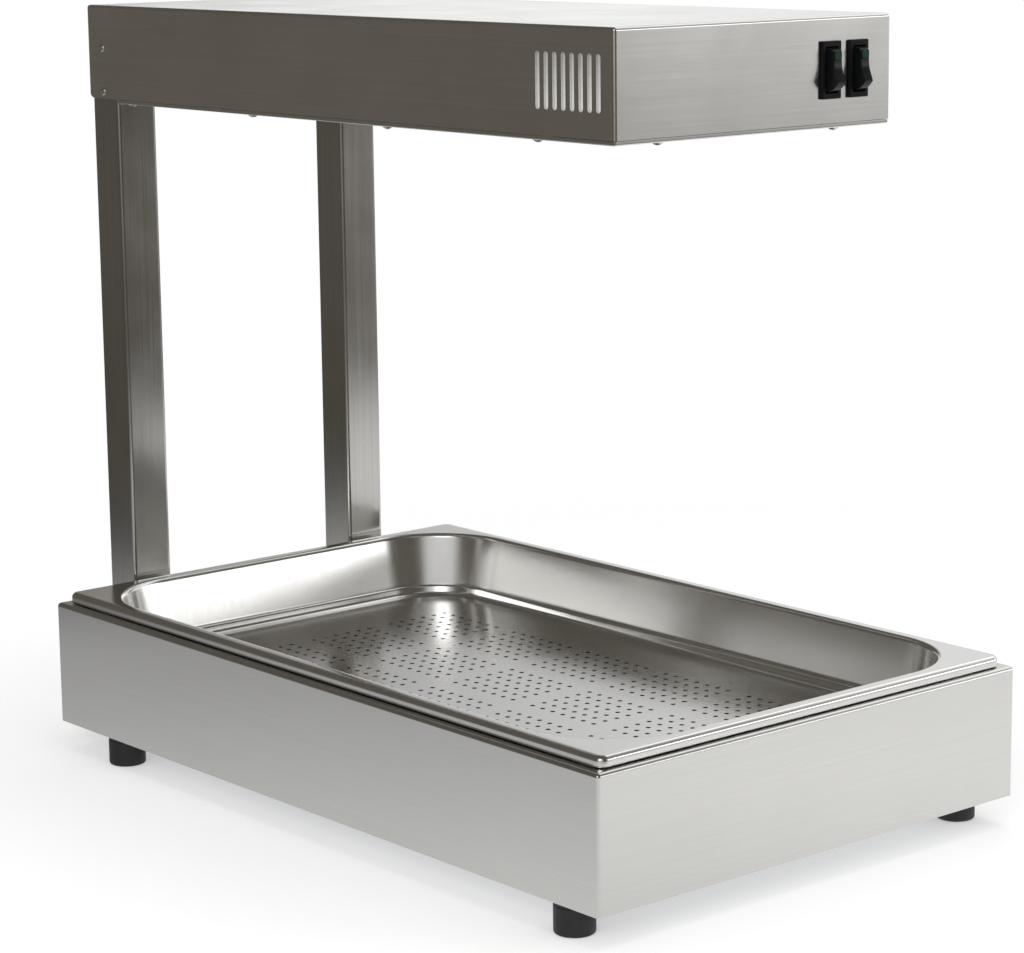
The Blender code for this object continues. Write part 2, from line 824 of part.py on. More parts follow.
def make_post(name, side):
    height = post_top - post_bottom
    middle = (post_top + post_bottom) / 2
    place = (side * post_x, post_middle, middle)
    tube = block((post_size, post_size, height), radius=post_corner_radius)
    post = piece(name, tube, place, "brushed steel")
    bore = post_size - 2 * post_wall
    inside = block((bore, bore, height + 2 * overrun), radius=post_corner_radius - post_wall)
    cut(post, tool(f"{name}_inside", inside, place))

    along_y = (0.0, 1.0, 0.0)
    bolts = [(x, z) for x, z in post_bolt_places() if x * side > 0.0]
    nut_y = post_front + post_wall + post_nut_thickness / 2 - fuse_overlap
    nuts = cylinders(post_nut_radius, post_nut_thickness, [(x, nut_y, z) for x, z in bolts], along_y, 6)
    join(post, tool(f"{name}_nuts", nuts))
    reach = 2 * (post_wall + post_nut_thickness + overrun)
    centres = [(x, post_front, z) for x, z in bolts]
    holes = cylinders(screw_hole(post_bolt_radius), reach, centres, along_y, screw_steps)
    cut(post, tool(f"{name}_bolt_holes", holes))

    outer_face = side * (post_x + post_size / 2)
    screws = [(outer_face, post_middle, z) for where, z in side_screw_places() if where == side]
    bore = screw_hole(small_screw_radius)
    holes = cylinders(bore, 2 * overrun, screws, (1.0, 0.0, 0.0), screw_steps)
    cut(post, tool(f"{name}_screw_holes", holes))
    if side > 0:
        holes = cylinders(cable_hole_radius, 2 * overrun, [(post_x, post_front, cable_level)], along_y)
        cut(post, tool(f"{name}_cable_hole", holes))
    return post


def make_post_plug(name, side):
    flange = block((post_size, post_size, plug_flange_thickness), radius=post_corner_radius)
    level = post_bottom - gap - plug_flange_thickness / 2
    plug = piece(name, flange, (side * post_x, post_middle, level), "black plastic")
    inside = post_size - 2 * post_wall - 2 * plug_clearance
    depth = plug_depth + plug_flange_thickness / 2
    stem = block((inside, inside, depth), radius=post_corner_radius - post_wall)
    join(plug, tool(f"{name}_stem", stem, (side * post_x, post_middle, level + depth / 2)))


def make_post_bolts():
    bolt = screw_mesh(
        "post_bolt", post_bolt_radius, post_bolt_length, post_bolt_head_radius, post_bolt_head_height
    )
    for number, (x, z) in enumerate(post_bolt_places(), 1):
        place = (x, base_rear - sheet - gap, z)
        turned_piece(f"post_bolt_{number}", bolt, place, (0.0, -1.0, 0.0), "zinc steel")


# Head

def make_head_housing():
    level = (head_bottom + head_top) / 2
    shell = block((head_width, head_length, head_height), radius=head_edge_radius, rounded=crowned)
    housing = piece("head_housing", shell, (0.0, head_middle, level), "brushed steel")

    cavity_bottom = head_bottom + sheet
    cavity_top = head_top - sheet
    cavity = block(
        (head_width - 2 * sheet, head_length - 2 * sheet, cavity_top - cavity_bottom),
        radius=head_edge_radius - sheet,
        rounded=crowned,
    )
    cut(housing, tool("head_cavity", cavity, (0.0, head_middle, (cavity_top + cavity_bottom) / 2)))

    hatch_front = head_front + head_lip_width
    hatch_rear = head_rear - sheet
    hatch = block((head_width - 2 * head_lip_width, hatch_rear - hatch_front, 2 * overrun))
    cut(housing, tool("head_hatch", hatch, (0.0, (hatch_front + hatch_rear) / 2, head_bottom)))
    bay_front = post_front - gap
    bay = block((head_width - 2 * sheet, hatch_rear - bay_front, 2 * overrun))
    cut(housing, tool("head_post_bay", bay, (0.0, (bay_front + hatch_rear) / 2, head_bottom)))
    cut(housing, tool("head_rear_corner", rear_corner_cutter()))

    vents = bmesh.new()
    vent_middle = head_front + vent_centre_inset
    for index in range(vent_count):
        y = vent_middle + (index - (vent_count - 1) / 2) * vent_pitch
        add_block(
            vents,
            (head_width + 2 * overrun, vent_width, vent_height),
            (0.0, y, level),
            slot_round_share * vent_width / 2,
            slot_steps,
            along_x,
        )
    cut(housing, tool("head_vents", vents))

    openings = bmesh.new()
    for x in switch_places():
        width = switch_body_width + 2 * switch_cutout_margin
        height = switch_body_height + 2 * switch_cutout_margin
        add_block(openings, (width, 2 * overrun, height), (x, head_front, switch_level))
    cut(housing, tool("head_switch_openings", openings))

    screw_holes = cylinders(
        screw_hole(small_screw_radius),
        2 * overrun,
        [(x, y, head_bottom) for x, y in panel_screw_places()],
        sides=screw_steps,
    )
    cut(housing, tool("head_screw_holes", screw_holes))
    side_holes = cylinders(
        screw_hole(small_screw_radius),
        2 * overrun,
        [(side * head_width / 2, post_middle, z) for side, z in side_screw_places()],
        (1.0, 0.0, 0.0),
        screw_steps,
    )
    cut(housing, tool("head_side_holes", side_holes))
    return housing


def make_vent_liner(name, side):
    """A pale board close behind the vents of one side."""
    length = (vent_count - 1) * vent_pitch + vent_width + 2 * liner_margin
    height = vent_height + 2 * liner_margin
    x = side * (head_width / 2 - sheet - gap - liner_sheet / 2)
    y = head_front + vent_centre_inset
    board = block((liner_sheet, length, height))
    piece(name, board, (x, y, (head_bottom + head_top) / 2), "ceramic")


def rear_corner_cutter():
    """A bar along X whose inner edge is a rounded corner: it trims the lower rear edge of the head."""
    radius = head_rear_corner_radius
    centre = (head_rear - radius, head_bottom + radius)
    curve = arc(centre, radius, 0.0, -math.pi / 2, 2 * edge_steps)
    low = head_bottom - overrun
    outside = head_rear + overrun
    outline = [(outside, centre[1])] + curve + [(centre[0], low), (outside, low)]
    return extruded_outline(outline, head_width / 2 + overrun)


def panel_screw_places():
    """(x, y) of the domed screws under the head."""
    side = head_width / 2 - panel_screw_inset
    first = head_front + panel_screw_first_inset
    pitch = (post_front - panel_screw_inset - first) / (panel_screw_count - 1)
    rows = [first + index * pitch for index in range(panel_screw_count)]
    front = head_front + panel_screw_inset
    half = panel_screw_front_spacing / 2
    return [(x, y) for x in (-side, side) for y in rows] + [(-half, front), (half, front)]


def make_head_panel():
    width = head_width - 2 * panel_edge_inset
    front = head_front + panel_edge_inset
    rear = head_rear - sheet - gap
    length = rear - front
    height = panel_drop - gap
    tray = block((width, length, height), radius=panel_corner_radius)
    middle = (front + rear) / 2
    level = panel_bottom + height / 2
    panel = piece("head_bottom_panel", tray, (0.0, middle, level), "brushed steel")
    inside = block(
        (width - 2 * panel_sheet, length - 2 * panel_sheet, height),
        radius=panel_corner_radius - panel_sheet,
    )
    hollow_level = panel_top + height / 2
    cut(panel, tool("panel_inside", inside, (0.0, middle, hollow_level)))

    opening_front = compartment_front + guard_end_margin
    opening_rear = compartment_rear - guard_end_margin
    size = (panel_opening_width, opening_rear - opening_front, 2 * overrun)
    opening = block(size, radius=panel_corner_radius)
    cut(panel, tool("panel_opening", opening, (0.0, (opening_front + opening_rear) / 2, panel_top)))

    notches = bmesh.new()
    notch_inner = post_x - post_size / 2 - gap
    notch_outer = head_width / 2 + overrun
    notch_front = post_front - gap
    notch_rear = head_rear + overrun
    for side in (-1, 1):
        add_block(
            notches,
            (notch_outer - notch_inner, notch_rear - notch_front, 2 * overrun),
            (side * (notch_outer + notch_inner) / 2, (notch_front + notch_rear) / 2, panel_top),
        )
    cut(panel, tool("panel_notches", notches))
    screw = screw_mesh(
        "panel_screw",
        small_screw_radius,
        small_screw_length,
        small_screw_head_radius,
        small_screw_head_height,
    )
    level = panel_bottom + fuse_overlap
    screws = group(screw, [((x, y, level), (0.0, 0.0, -1.0)) for x, y in panel_screw_places()])
    join(panel, tool("head_panel_screws", screws))


def make_head_side_screws():
    screw = screw_mesh(
        "side_screw",
        small_screw_radius,
        small_screw_length,
        side_screw_head_radius,
        side_screw_head_height,
    )
    for number, (side, z) in enumerate(side_screw_places(), 1):
        place = (side * (head_width / 2 + gap), post_middle, z)
        turned_piece(f"head_side_screw_{number}", screw, place, (side, 0.0, 0.0), "bright steel")


# Heater compartment

def reflector_outline():
    """Two parabolic lobes side by side with a flat flange at each side, as (x, z) from the left."""
    points = [(-lobe_x - lobe_half_width - reflector_flange_width, lobe_level)]
    for side in (-1, 1):
        for step in range(lobe_steps + 1):
            share = 2 * step / lobe_steps - 1
            points.append((side * lobe_x + share * lobe_half_width, lobe_top - lobe_depth * share**2))
    points.append((lobe_x + lobe_half_width + reflector_flange_width, lobe_level))
    return points


def make_reflector():
    length = compartment_rear - compartment_front - 2 * end_plate_sheet - 2 * gap
    middle = (compartment_front + compartment_rear) / 2
    surface = folded_sheet(reflector_outline(), length)
    reflector = piece("reflector", surface, (0.0, middle, 0.0), "aluminium")
    thicken(reflector, reflector_sheet, 1.0)


def make_reflector_end(name, y):
    plate = block((end_plate_width, end_plate_sheet, end_plate_height))
    end = piece(name, plate, (0.0, y, panel_top + gap + end_plate_height / 2), "aluminium")
    centres = [(side * lobe_x, y, tube_level) for side in (-1, 1)]
    holes = cylinders(holder_hole_radius, 2 * overrun, centres, (0.0, 1.0, 0.0))
    cut(end, tool(f"{name}_holes", holes))


def make_heaters():
    make_reflector_end("reflector_end_front", compartment_front + end_plate_sheet / 2)
    make_reflector_end("reflector_end_rear", compartment_rear - end_plate_sheet / 2)
    flange = holder_flange_thickness
    profile = [
        (holder_bore_radius, flange),
        (holder_flange_radius, flange),
        (holder_flange_radius, 0.0),
        (holder_radius, 0.0),
        (holder_radius, flange - holder_length),
        (holder_bore_radius, flange - holder_length),
    ]
    holder = turned("ceramic_holder", profile, round_steps, closed=True)
    length = compartment_rear - compartment_front + 2 * tube_overhang
    middle = (compartment_front + compartment_rear) / 2
    ends = (("front", -1.0, compartment_front - gap), ("rear", 1.0, compartment_rear + gap))
    for label, side in (("left", -1), ("right", 1)):
        x = side * lobe_x
        for end, direction, face in ends:
            name = f"ceramic_holder_{label}_{end}"
            turned_piece(name, holder, (x, face, tube_level), (0.0, direction, 0.0), "ceramic")
        tube = cylinders(tube_radius, length, [(0.0, 0.0, 0.0)], (0.0, 1.0, 0.0))
        piece(f"heater_tube_{label}", tube, (x, middle, tube_level), "quartz")


def make_heat_shield():
    bottom = panel_top + gap
    top = shield_top - shield_sheet
    half = shield_half_width
    front = compartment_front - shield_overhang
    rear = post_front - 2 * gap
    surface = folded_sheet([(-half, bottom), (-half, top), (half, top), (half, bottom)], rear - front)
    shield = piece("heat_shield", surface, (0.0, (front + rear) / 2, 0.0), "zinc steel")
    thicken(shield, shield_sheet, 1.0)


def make_guard():
    level = panel_top + gap + guard_wire_radius
    front = compartment_front + guard_end_margin
    rear = compartment_rear - guard_end_margin
    pitch = (rear - front) / (guard_cross_count + 1)
    centres = [(0.0, front + (index + 1) * pitch, level) for index in range(guard_cross_count)]
    width = panel_opening_width + 2 * guard_bearing
    wires = cylinders(guard_wire_radius, width, centres, (1.0, 0.0, 0.0), guard_wire_steps)
    guard = piece("guard_grille", wires, (0.0, 0.0, 0.0), "bright steel")
    rail_level = level + guard_rail_rise_share * guard_wire_radius
    centres = [(side * guard_rail_spacing / 2, (front + rear) / 2, rail_level) for side in (-1, 1)]
    length = rear - front + 2 * guard_bearing
    rails = cylinders(guard_wire_radius, length, centres, (0.0, 1.0, 0.0), guard_wire_steps)
    join(guard, tool("guard_rails", rails))


# Switches

def switch_places():
    """The x of each switch, from the left."""
    last = head_width / 2 - switch_side_inset
    return [last - (switch_count - 1 - index) * switch_pitch for index in range(switch_count)]


def make_switch(label, x):
    pivot = (x, head_front + rocker_pivot_depth, switch_level)
    bezel_y = head_front - gap - bezel_thickness / 2
    size = (bezel_width, bezel_thickness, bezel_height)
    bezel = block(size, radius=bezel_edge_radius, steps=2, rounded=front_and_along_y)
    switch = piece(f"switch_{label}", bezel, (x, bezel_y, switch_level), "black plastic")
    body = block((switch_body_width, switch_body_depth, switch_body_height))
    back = bezel_y + switch_body_depth
    join(switch, tool(f"switch_{label}_body", body, (x, (bezel_y + back) / 2, switch_level)))
    blades = bmesh.new()
    for index in range(blade_count):
        z = switch_level + (index - (blade_count - 1) / 2) * blade_pitch
        add_block(blades, (blade_width, 2 * blade_length, blade_thickness), (x, back, z))
    join(switch, tool(f"switch_{label}_blades", blades))

    well_width = rocker_width + 2 * gap
    well_height = 2 * (rocker_tip_radius + switch_well_margin)
    well_front = bezel_y - bezel_thickness
    well_rear = pivot[1] + switch_well_depth
    well = block((well_width, well_rear - well_front, well_height))
    middle = (x, (well_front + well_rear) / 2, switch_level)
    cut(switch, tool(f"switch_{label}_well", well, middle))
    reach = well_width + 2 * (pivot_pin_reach + gap)
    bore = hole_corner(pivot_hole_radius, screw_steps)
    seat = cylinders(bore, reach, [pivot], (1.0, 0.0, 0.0), screw_steps)
    cut(switch, tool(f"switch_{label}_pin_seat", seat))
    make_rocker(label, pivot)


def rocker_outline():
    """The level rocker from the side, round its pivot: a shallow valley in front, arcs at both tips."""
    radius = rocker_tip_radius
    start = math.pi / 2 + math.asin(rocker_tip_rise / radius)
    end = math.pi / 2 - math.asin(rocker_back_depth / radius)
    upper = arc((0.0, 0.0), radius, start, end, rocker_arc_steps)
    lower = [(y, -z) for y, z in reversed(upper)]
    return upper + lower + [(-rocker_middle_rise, 0.0)]


def make_rocker(label, pivot):
    """The rocker at rest, its upper half pressed in, and the lens in its upper half."""
    rest = Matrix.Rotation(-rocker_half_angle, 4, "X")
    shape = extruded_outline(rocker_outline(), rocker_width / 2)
    bmesh.ops.transform(shape, matrix=rest, verts=shape.verts)
    rocker = piece(f"rocker_{label}", shape, pivot, "black plastic")
    reach = rocker_width + 2 * (gap + pivot_pin_reach)
    pin = cylinders(pivot_pin_radius, reach, [(0.0, 0.0, 0.0)], (1.0, 0.0, 0.0), screw_steps)
    join(rocker, tool(f"rocker_{label}_pin", pin, pivot))

    tip_height = math.sqrt(rocker_tip_radius**2 - rocker_tip_rise**2)
    slope = math.atan2(rocker_tip_rise - rocker_middle_rise, tip_height)
    face_y = -rocker_middle_rise - lens_centre_height * math.tan(slope)
    face = Matrix.Translation((0.0, face_y, lens_centre_height)) @ Matrix.Rotation(slope, 4, "X")
    pocket = block((lens_width, 2 * lens_depth, lens_height))
    bmesh.ops.transform(pocket, matrix=rest @ face, verts=pocket.verts)
    cut(rocker, tool(f"rocker_{label}_pocket", pocket, pivot))
    inner = lens_depth - lens_clearance
    size = (lens_width - 2 * lens_clearance, inner + lens_proud, lens_height - 2 * lens_clearance)
    window = block(size, (0.0, (inner - lens_proud) / 2, 0.0))
    bmesh.ops.transform(window, matrix=rest @ face, verts=window.verts)
    lens = piece(f"lens_{label}", window, (0.0, 0.0, 0.0), "green lens", smooth=False)
    lens.parent = rocker


# Wiring

def terminal_block_middle():
    switches = switch_places()
    y = head_front + terminal_block_front_inset
    return Vector((sum(switches) / len(switches), y, panel_top + gap + terminal_block_size[2] / 2))


def terminal_poles():
    """The x of each terminal, centred on the block."""
    pitch = terminal_block_size[0] / terminal_pole_count
    return [(index - (terminal_pole_count - 1) / 2) * pitch for index in range(terminal_pole_count)]


def make_terminal_block():
    middle = terminal_block_middle()
    body = piece("terminal_block", block(terminal_block_size), middle, "ceramic")
    front = middle.y - terminal_block_size[1] / 2
    centres = [(middle.x + x, front, middle.z) for x in terminal_poles()]
    bore = hole_corner(terminal_hole_radius, screw_steps)
    holes = cylinders(bore, 2 * terminal_hole_depth, centres, (0.0, 1.0, 0.0), screw_steps)
    cut(body, tool("terminal_holes", holes))


def wire(name, points, radius, finish):
    """A round wire along a list of points."""
    curve = bpy.data.curves.new(name, "CURVE")
    curve.dimensions = "3D"
    curve.bevel_depth = radius
    curve.bevel_resolution = 2
    curve.use_fill_caps = True
    spline = curve.splines.new("POLY")
    spline.points.add(len(points) - 1)
    for target, point in zip(spline.points, points):
        target.co = (*point, 1.0)
    obj = add_object(name, curve, (0.0, 0.0, 0.0), parts)
    curve.materials.append(finish_material(name, finish))
    return obj


def eased_route(start, end, last_lead):
    """A smooth run that leaves and arrives along Y, with a straight lead at both ends."""
    leave = start + Vector((0.0, wire_lead, 0.0))
    arrive = end - Vector((0.0, last_lead, 0.0))
    points = [start]
    for step in range(2 * cable_turn_steps + 1):
        share = step / (2 * cable_turn_steps)
        blend = share * share * (3 - 2 * share)
        point = leave.lerp(arrive, blend)
        point.y = leave.y + (arrive.y - leave.y) * share
        points.append(point)
    return points + [end]


def corner_route(corners, radius):
    """A run through corner points, each rounded with a radius."""
    points = [Vector(corners[0])]
    for before, middle, after in zip(corners, corners[1:], corners[2:]):
        corner = Vector(middle)
        back = (Vector(before) - corner).normalized()
        ahead = (Vector(after) - corner).normalized()
        for step in range(cable_turn_steps + 1):
            angle = math.pi / 2 * step / cable_turn_steps
            inward = (1 - math.sin(angle)) * back + (1 - math.cos(angle)) * ahead
            points.append(corner + radius * inward)
    points.append(Vector(corners[-1]))
    return points


def make_switch_wires():
    """For each switch, a wire to the terminal block and one to a heater tube."""
    middle = terminal_block_middle()
    start_y = head_front - gap - bezel_thickness / 2 + switch_body_depth + blade_length + wire_clearance
    hole_end = middle.y - terminal_block_size[1] / 2 + terminal_hole_depth - wire_clearance
    tube_end = compartment_front - tube_overhang - wire_clearance
    poles = [middle.x + x for x in terminal_poles()]
    labels = ("left", "right")
    for index, x in enumerate(switch_places()):
        label = labels[index]
        nearest = min(abs(pole - x) for pole in poles)
        pole = next(pole for pole in poles if abs(pole - x) == nearest)
        lower = Vector((x, start_y, switch_level - blade_pitch))
        to_pole = eased_route(lower, Vector((pole, hole_end, middle.z)), terminal_hole_depth + wire_lead)
        wire(f"switch_wire_{label}", to_pole, wire_radius, "insulation")
        centre = Vector((x, start_y, switch_level))
        tube = Vector(((2 * index - 1) * lobe_x, tube_end, tube_level))
        wire(f"heater_wire_{label}", eased_route(centre, tube, wire_lead), wire_radius, "insulation")


def make_supply_cable():
    """From the gland across the base, up the right-hand post and forward over the heat shield."""
    block_middle = terminal_block_middle()
    start_y = base_rear + gap - gland_shank_length / 2
    turn_y = base_rear - cable_inner_inset
    run_level = shield_top + gap + cable_radius
    drop_y = head_front + cable_drop_inset
    end_y = block_middle.y + terminal_block_size[1] / 2 + gap
    corners = [
        (gland_x, start_y, cable_level),
        (gland_x, turn_y, cable_level),
        (post_x, turn_y, cable_level),
        (post_x, post_middle, cable_level),
        (post_x, post_middle, run_level),
        (post_x, drop_y, run_level),
        (post_x, drop_y, block_middle.z),
        (post_x, end_y, block_middle.z),
    ]
    wire("supply_cable", corner_route(corners, cable_turn_radius), cable_radius, "black rubber")


def make_gland():
    outward = (0.0, 1.0, 0.0)
    place = (gland_x, base_rear + gap, cable_level)
    wall_middle = (gland_bore_radius + gland_shank_radius) / 2
    hexagon = bored("gland_hexagon", gland_hex_radius, wall_middle, gland_hex_thickness, 6)
    gland = turned_piece("cable_gland", hexagon, place, outward, "black plastic")
    round_radius = gland_dome_radius - gland_bore_radius
    centre = (gland_bore_radius, gland_length - round_radius)
    profile = arc(centre, round_radius, math.pi / 2, 0.0, edge_steps) + [
        (gland_dome_radius, gland_hex_thickness / 2),
        (gland_shank_radius, gland_hex_thickness / 2),
        (gland_shank_radius, -gland_shank_length),
        (gland_bore_radius, -gland_shank_length),
    ]
    sleeve = tool("gland_sleeve", turned("gland_sleeve", profile, round_steps, closed=True), place)
    sleeve.rotation_euler = turn_to(outward).to_euler()
    join(gland, sleeve)
    nut = bored("gland_nut", gland_hex_radius, gland_shank_radius + gap, gland_nut_thickness, 6)
    inside = (gland_x, base_rear - sheet - gap, cable_level)
    turned_piece("gland_nut", nut, inside, (0.0, -1.0, 0.0), "black plastic")


clear_scene()
parts = new_collection("heated_food_gantry")
cutters = new_collection("cutters")

make_base_housing()
make_base_bottom_plate()
make_feet()
make_insert(make_pan())
make_heating_plate()
make_post("post_left", -1)
make_post("post_right", 1)
make_post_plug("post_plug_left", -1)
make_post_plug("post_plug_right", 1)
make_post_bolts()
make_head_housing()
make_vent_liner("vent_liner_left", -1)
make_vent_liner("vent_liner_right", 1)
make_head_panel()
make_head_side_screws()
make_reflector()
make_heaters()
make_heat_shield()
make_guard()
for switch_label, switch_x in zip(("left", "right"), switch_places()):
    make_switch(switch_label, switch_x)
make_terminal_block()
make_switch_wires()
make_supply_cable()
make_gland()
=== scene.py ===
"""Looks of the heated food gantry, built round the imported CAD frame.

Metres, +Z up. The front faces -Y. The origin lies on the floor at the centre of the footprint.
"""

import math

import bmesh
import bpy
from mathutils import Matrix, Vector


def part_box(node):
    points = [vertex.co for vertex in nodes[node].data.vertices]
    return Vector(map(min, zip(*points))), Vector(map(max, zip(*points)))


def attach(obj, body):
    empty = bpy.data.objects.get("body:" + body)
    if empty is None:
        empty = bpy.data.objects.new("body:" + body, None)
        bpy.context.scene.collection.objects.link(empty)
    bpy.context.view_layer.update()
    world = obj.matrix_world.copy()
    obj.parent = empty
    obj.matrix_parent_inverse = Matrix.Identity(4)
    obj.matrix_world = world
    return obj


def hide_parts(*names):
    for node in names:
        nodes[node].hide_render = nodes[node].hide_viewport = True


# Fineness of the meshes
edge_steps = 4
corner_steps = 14
turn_steps = 32
small_turn_steps = 20
wire_sides = 16
hole_sides = 14
smooth_angle = math.radians(40.0)
pan_smooth_angle = math.radians(60.0)
weld_distance = 0.00002
overrun = 0.004

# Sheet metal
sheet = 0.0012
gap = 0.0003
base_height = 0.081
base_edge_radius = 0.0025
base_lip_width = 0.014
head_edge_radius = 0.002
head_lip_width = 0.011
head_rear_corner_radius = 0.006
post_corner_radius = 0.0025
post_wall = 0.0015
panel_sheet = 0.001
panel_corner_radius = 0.002
panel_edge_radius = 0.0009
cable_hole_radius = 0.005
gland_hole_radius = 0.0078

# Food pan and perforated insert
pan_sheet = 0.0008
pan_lip_height = 0.0063
pan_rim_radius = 0.0032
pan_rim_corner_radius = 0.006
pan_mouth_inset = 0.0105
pan_mouth_edge_radius = 0.0035
pan_mouth_corner_radius = 0.058
pan_draft_angle = math.radians(11.0)
pan_floor_radius = 0.024
pan_seat_inset = 0.0065
insert_sheet = 0.0008
insert_skirt_inset = 0.010
insert_bead_depth = 0.0345
insert_bead_radius = 0.0022
insert_fillet_radius = 0.0035
insert_slope = math.radians(75.0)
insert_floor_depth = 0.041
hole_radius = 0.0016
hole_pitch = 0.00945
block_columns = 6
block_rows = 7
blocks_across = 3
blocks_along = 5

# Vents and switches
vent_count = 8
vent_pitch = 0.0072
vent_width = 0.0035
vent_height = 0.032
vent_centre_inset = 0.038
switch_body_width = 0.0136
bezel_width = 0.0155
switch_body_height = 0.0296
bezel_thickness = 0.0018
bezel_edge_radius = 0.0008
well_width = 0.0104
rocker_width = 0.0068
rocker_tip_radius = 0.0130
rocker_middle_rise = 0.0082
rocker_tip_rise = 0.0096
rocker_hollow_softness = 0.4
rocker_back_depth = 0.005
rocker_half_angle = math.radians(11.0)
rocker_edge_radius = 0.0005
rocker_pivot_depth = 0.0012
lens_width = 0.0054
lens_height = 0.0048
lens_centre_height = 0.0066
lens_depth = 0.0010
lens_proud = 0.0005
lens_corner_radius = 0.0016
lens_clearance = 0.0001
lens_depth_share = 0.9
well_clearance = 0.0004
well_depth = 0.011
rocker_edge_steps = 3
blade_width = 0.0048
blade_thickness = 0.0008
blade_length = 0.009
blade_root = 0.003
blade_pitch = 0.008

# Screws, guard and heaters
small_head_radius = 0.0035
small_head_height = 0.0022
side_head_radius = 0.0028
side_head_height = 0.0012
cross_width = 0.0006
cross_share = 0.62
cross_depth_share = 0.55
cross_turn = math.radians(28.0)
panel_screw_inset = 0.008
panel_screw_front_spacing = 0.138
panel_screw_count = 4
panel_screw_pitch = 0.1363
base_plate_screw_inset = 0.009
base_slot_count = 4
base_slot_pitch = 0.020
base_slot_width = 0.004
base_slot_length = 0.060
base_slot_centre_share = 0.22
slot_end_share = 0.98
guard_cross_count = 11
guard_wire_radius = 0.00125
guard_rail_spacing = 0.060
lobe_half_width = 0.0355
lobe_spacing = 0.006
lobe_depth = 0.036
lobe_steps = 28
reflector_sheet = 0.0006
tube_wall = 0.001
coil_radius = 0.0036
coil_wire_radius = 0.00035
coil_pitch = 0.0024
coil_end_inset = 0.030
coil_turn_steps = 10
guard_bearing = 0.0035
cap_length = 0.012
cap_gap = 0.0001
holder_flange = 0.003
holder_edge = 0.0005
holder_radius = 0.009

# Feet and gland
foot_edge_radius = 0.0016
foot_neck_depth = 0.0004
foot_neck_height = 0.0022
foot_hole_radius = 0.0023
foot_bore_radius = 0.0048
foot_bore_depth = 0.008
foot_head_radius = 0.0040
foot_head_height = 0.0026
gland_hex_radius = 0.0105
gland_hex_thickness = 0.005
gland_hex_edge = 0.0005
gland_hex_edge_steps = 2
gland_dome_radius = 0.0085
gland_crown_radius = 0.003
gland_shank_radius = 0.0074
gland_bore_radius = 0.0034
gland_groove_count = 18
gland_groove_radius = 0.0005
gland_groove_reach_share = 1.02
gland_groove_middle_share = 0.52
gland_groove_length_share = 0.34
gland_groove_sides = 8
gland_hex_sides = 6

# Grain of the looks, in waves to the metre, and its depth
brush_scale = 2600.0
brush_band_scale = 520.0
brush_run_scale = 9.0
brush_cloud_share = 0.55
brush_depth = 0.00002
cloud_scale = 14.0
drawn_cloud_scale = 18.0
drawn_depth = 0.0006
draw_line_scale = 260.0
draw_run_scale = 12.0
draw_line_share = 0.35
speckles_per_cloud = 12
board_scale = 400.0
crystal_scale = 160.0

# Directions
rearwards = (0.0, 1.0, 0.0)
downwards = (0.0, 0.0, -1.0)

# Camera and picture
camera_place = (-1.2126, -1.4559, 0.5689)
camera_yaw = math.radians(-40.1365)
camera_pitch = math.radians(-11.06)
camera_roll = math.radians(-0.6624)
camera_lens = 107.30
camera_sensor = 36.0
camera_reach = 50.0

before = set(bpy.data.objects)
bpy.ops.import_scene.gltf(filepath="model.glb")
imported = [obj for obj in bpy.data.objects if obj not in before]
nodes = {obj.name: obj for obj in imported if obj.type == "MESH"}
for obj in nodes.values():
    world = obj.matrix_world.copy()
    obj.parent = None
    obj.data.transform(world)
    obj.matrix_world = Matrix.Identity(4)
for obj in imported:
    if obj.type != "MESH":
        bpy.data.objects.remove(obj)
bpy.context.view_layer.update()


# Places read from the frame

def box_of(node):
    return [Vector(corner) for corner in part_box(node)]


def middle_of(node):
    low, high = box_of(node)
    return (low + high) / 2


def within(low, high, inset, bottom, top):
    """A box's corners, drawn in by an inset on its four sides, between two levels."""
    return (low.x + inset, low.y + inset, bottom), (high.x - inset, high.y - inset, top)


base_low, base_high = box_of("base_housing")
head_low, head_high = box_of("head_housing")
panel_low, panel_high = box_of("head_bottom_panel")
pan_low, pan_high = box_of("pan")
post_low, post_high = box_of("post_left")
guard_low, guard_high = box_of("guard_grille")
reflector_low, reflector_high = box_of("reflector")
base_middle = (base_low.y + base_high.y) / 2
base_width = base_high.x - base_low.x
base_length = base_high.y - base_low.y
base_bottom = base_low.z
base_top = base_bottom + base_height
rim_level = pan_high.z
head_width = head_high.x - head_low.x
head_level = (head_low.z + head_high.z) / 2
mouth_half_x = pan_high.x - pan_mouth_inset
mouth_half_y = (pan_high.y - pan_low.y) / 2 - pan_mouth_inset
post_middle = (post_low.y + post_high.y) / 2
# The panel's node also holds its screws' heads, which stand below its sheet.
panel_bottom = panel_low.z + small_head_height


# Mesh helpers

def mesh_of(name, shape):
    mesh = bpy.data.meshes.new(name)
    shape.to_mesh(mesh)
    shape.free()
    return mesh


def loose_object(name, mesh):
    obj = bpy.data.objects.new(name, mesh)
    bpy.context.scene.collection.objects.link(obj)
    return obj


def solid(name, shape):
    return loose_object(name, mesh_of(name, shape))


def curve_mesh(curve):
    """The mesh that a curve makes."""
    source = loose_object("curve", curve)
    mesh = bpy.data.meshes.new_from_object(source.evaluated_get(bpy.context.evaluated_depsgraph_get()))
    bpy.data.objects.remove(source, do_unlink=True)
    return mesh


def baked(obj):
    """The object with its modifiers worked into its mesh."""
    evaluated = obj.evaluated_get(bpy.context.evaluated_depsgraph_get())
    mesh = bpy.data.meshes.new_from_object(evaluated)
    obj.modifiers.clear()
    obj.data = mesh
    return obj


def cut(obj, shape):
    """Take a shape out of an object, at once."""
    return combine(obj, shape, "DIFFERENCE")


def join(obj, shape):
    return combine(obj, shape, "UNION")


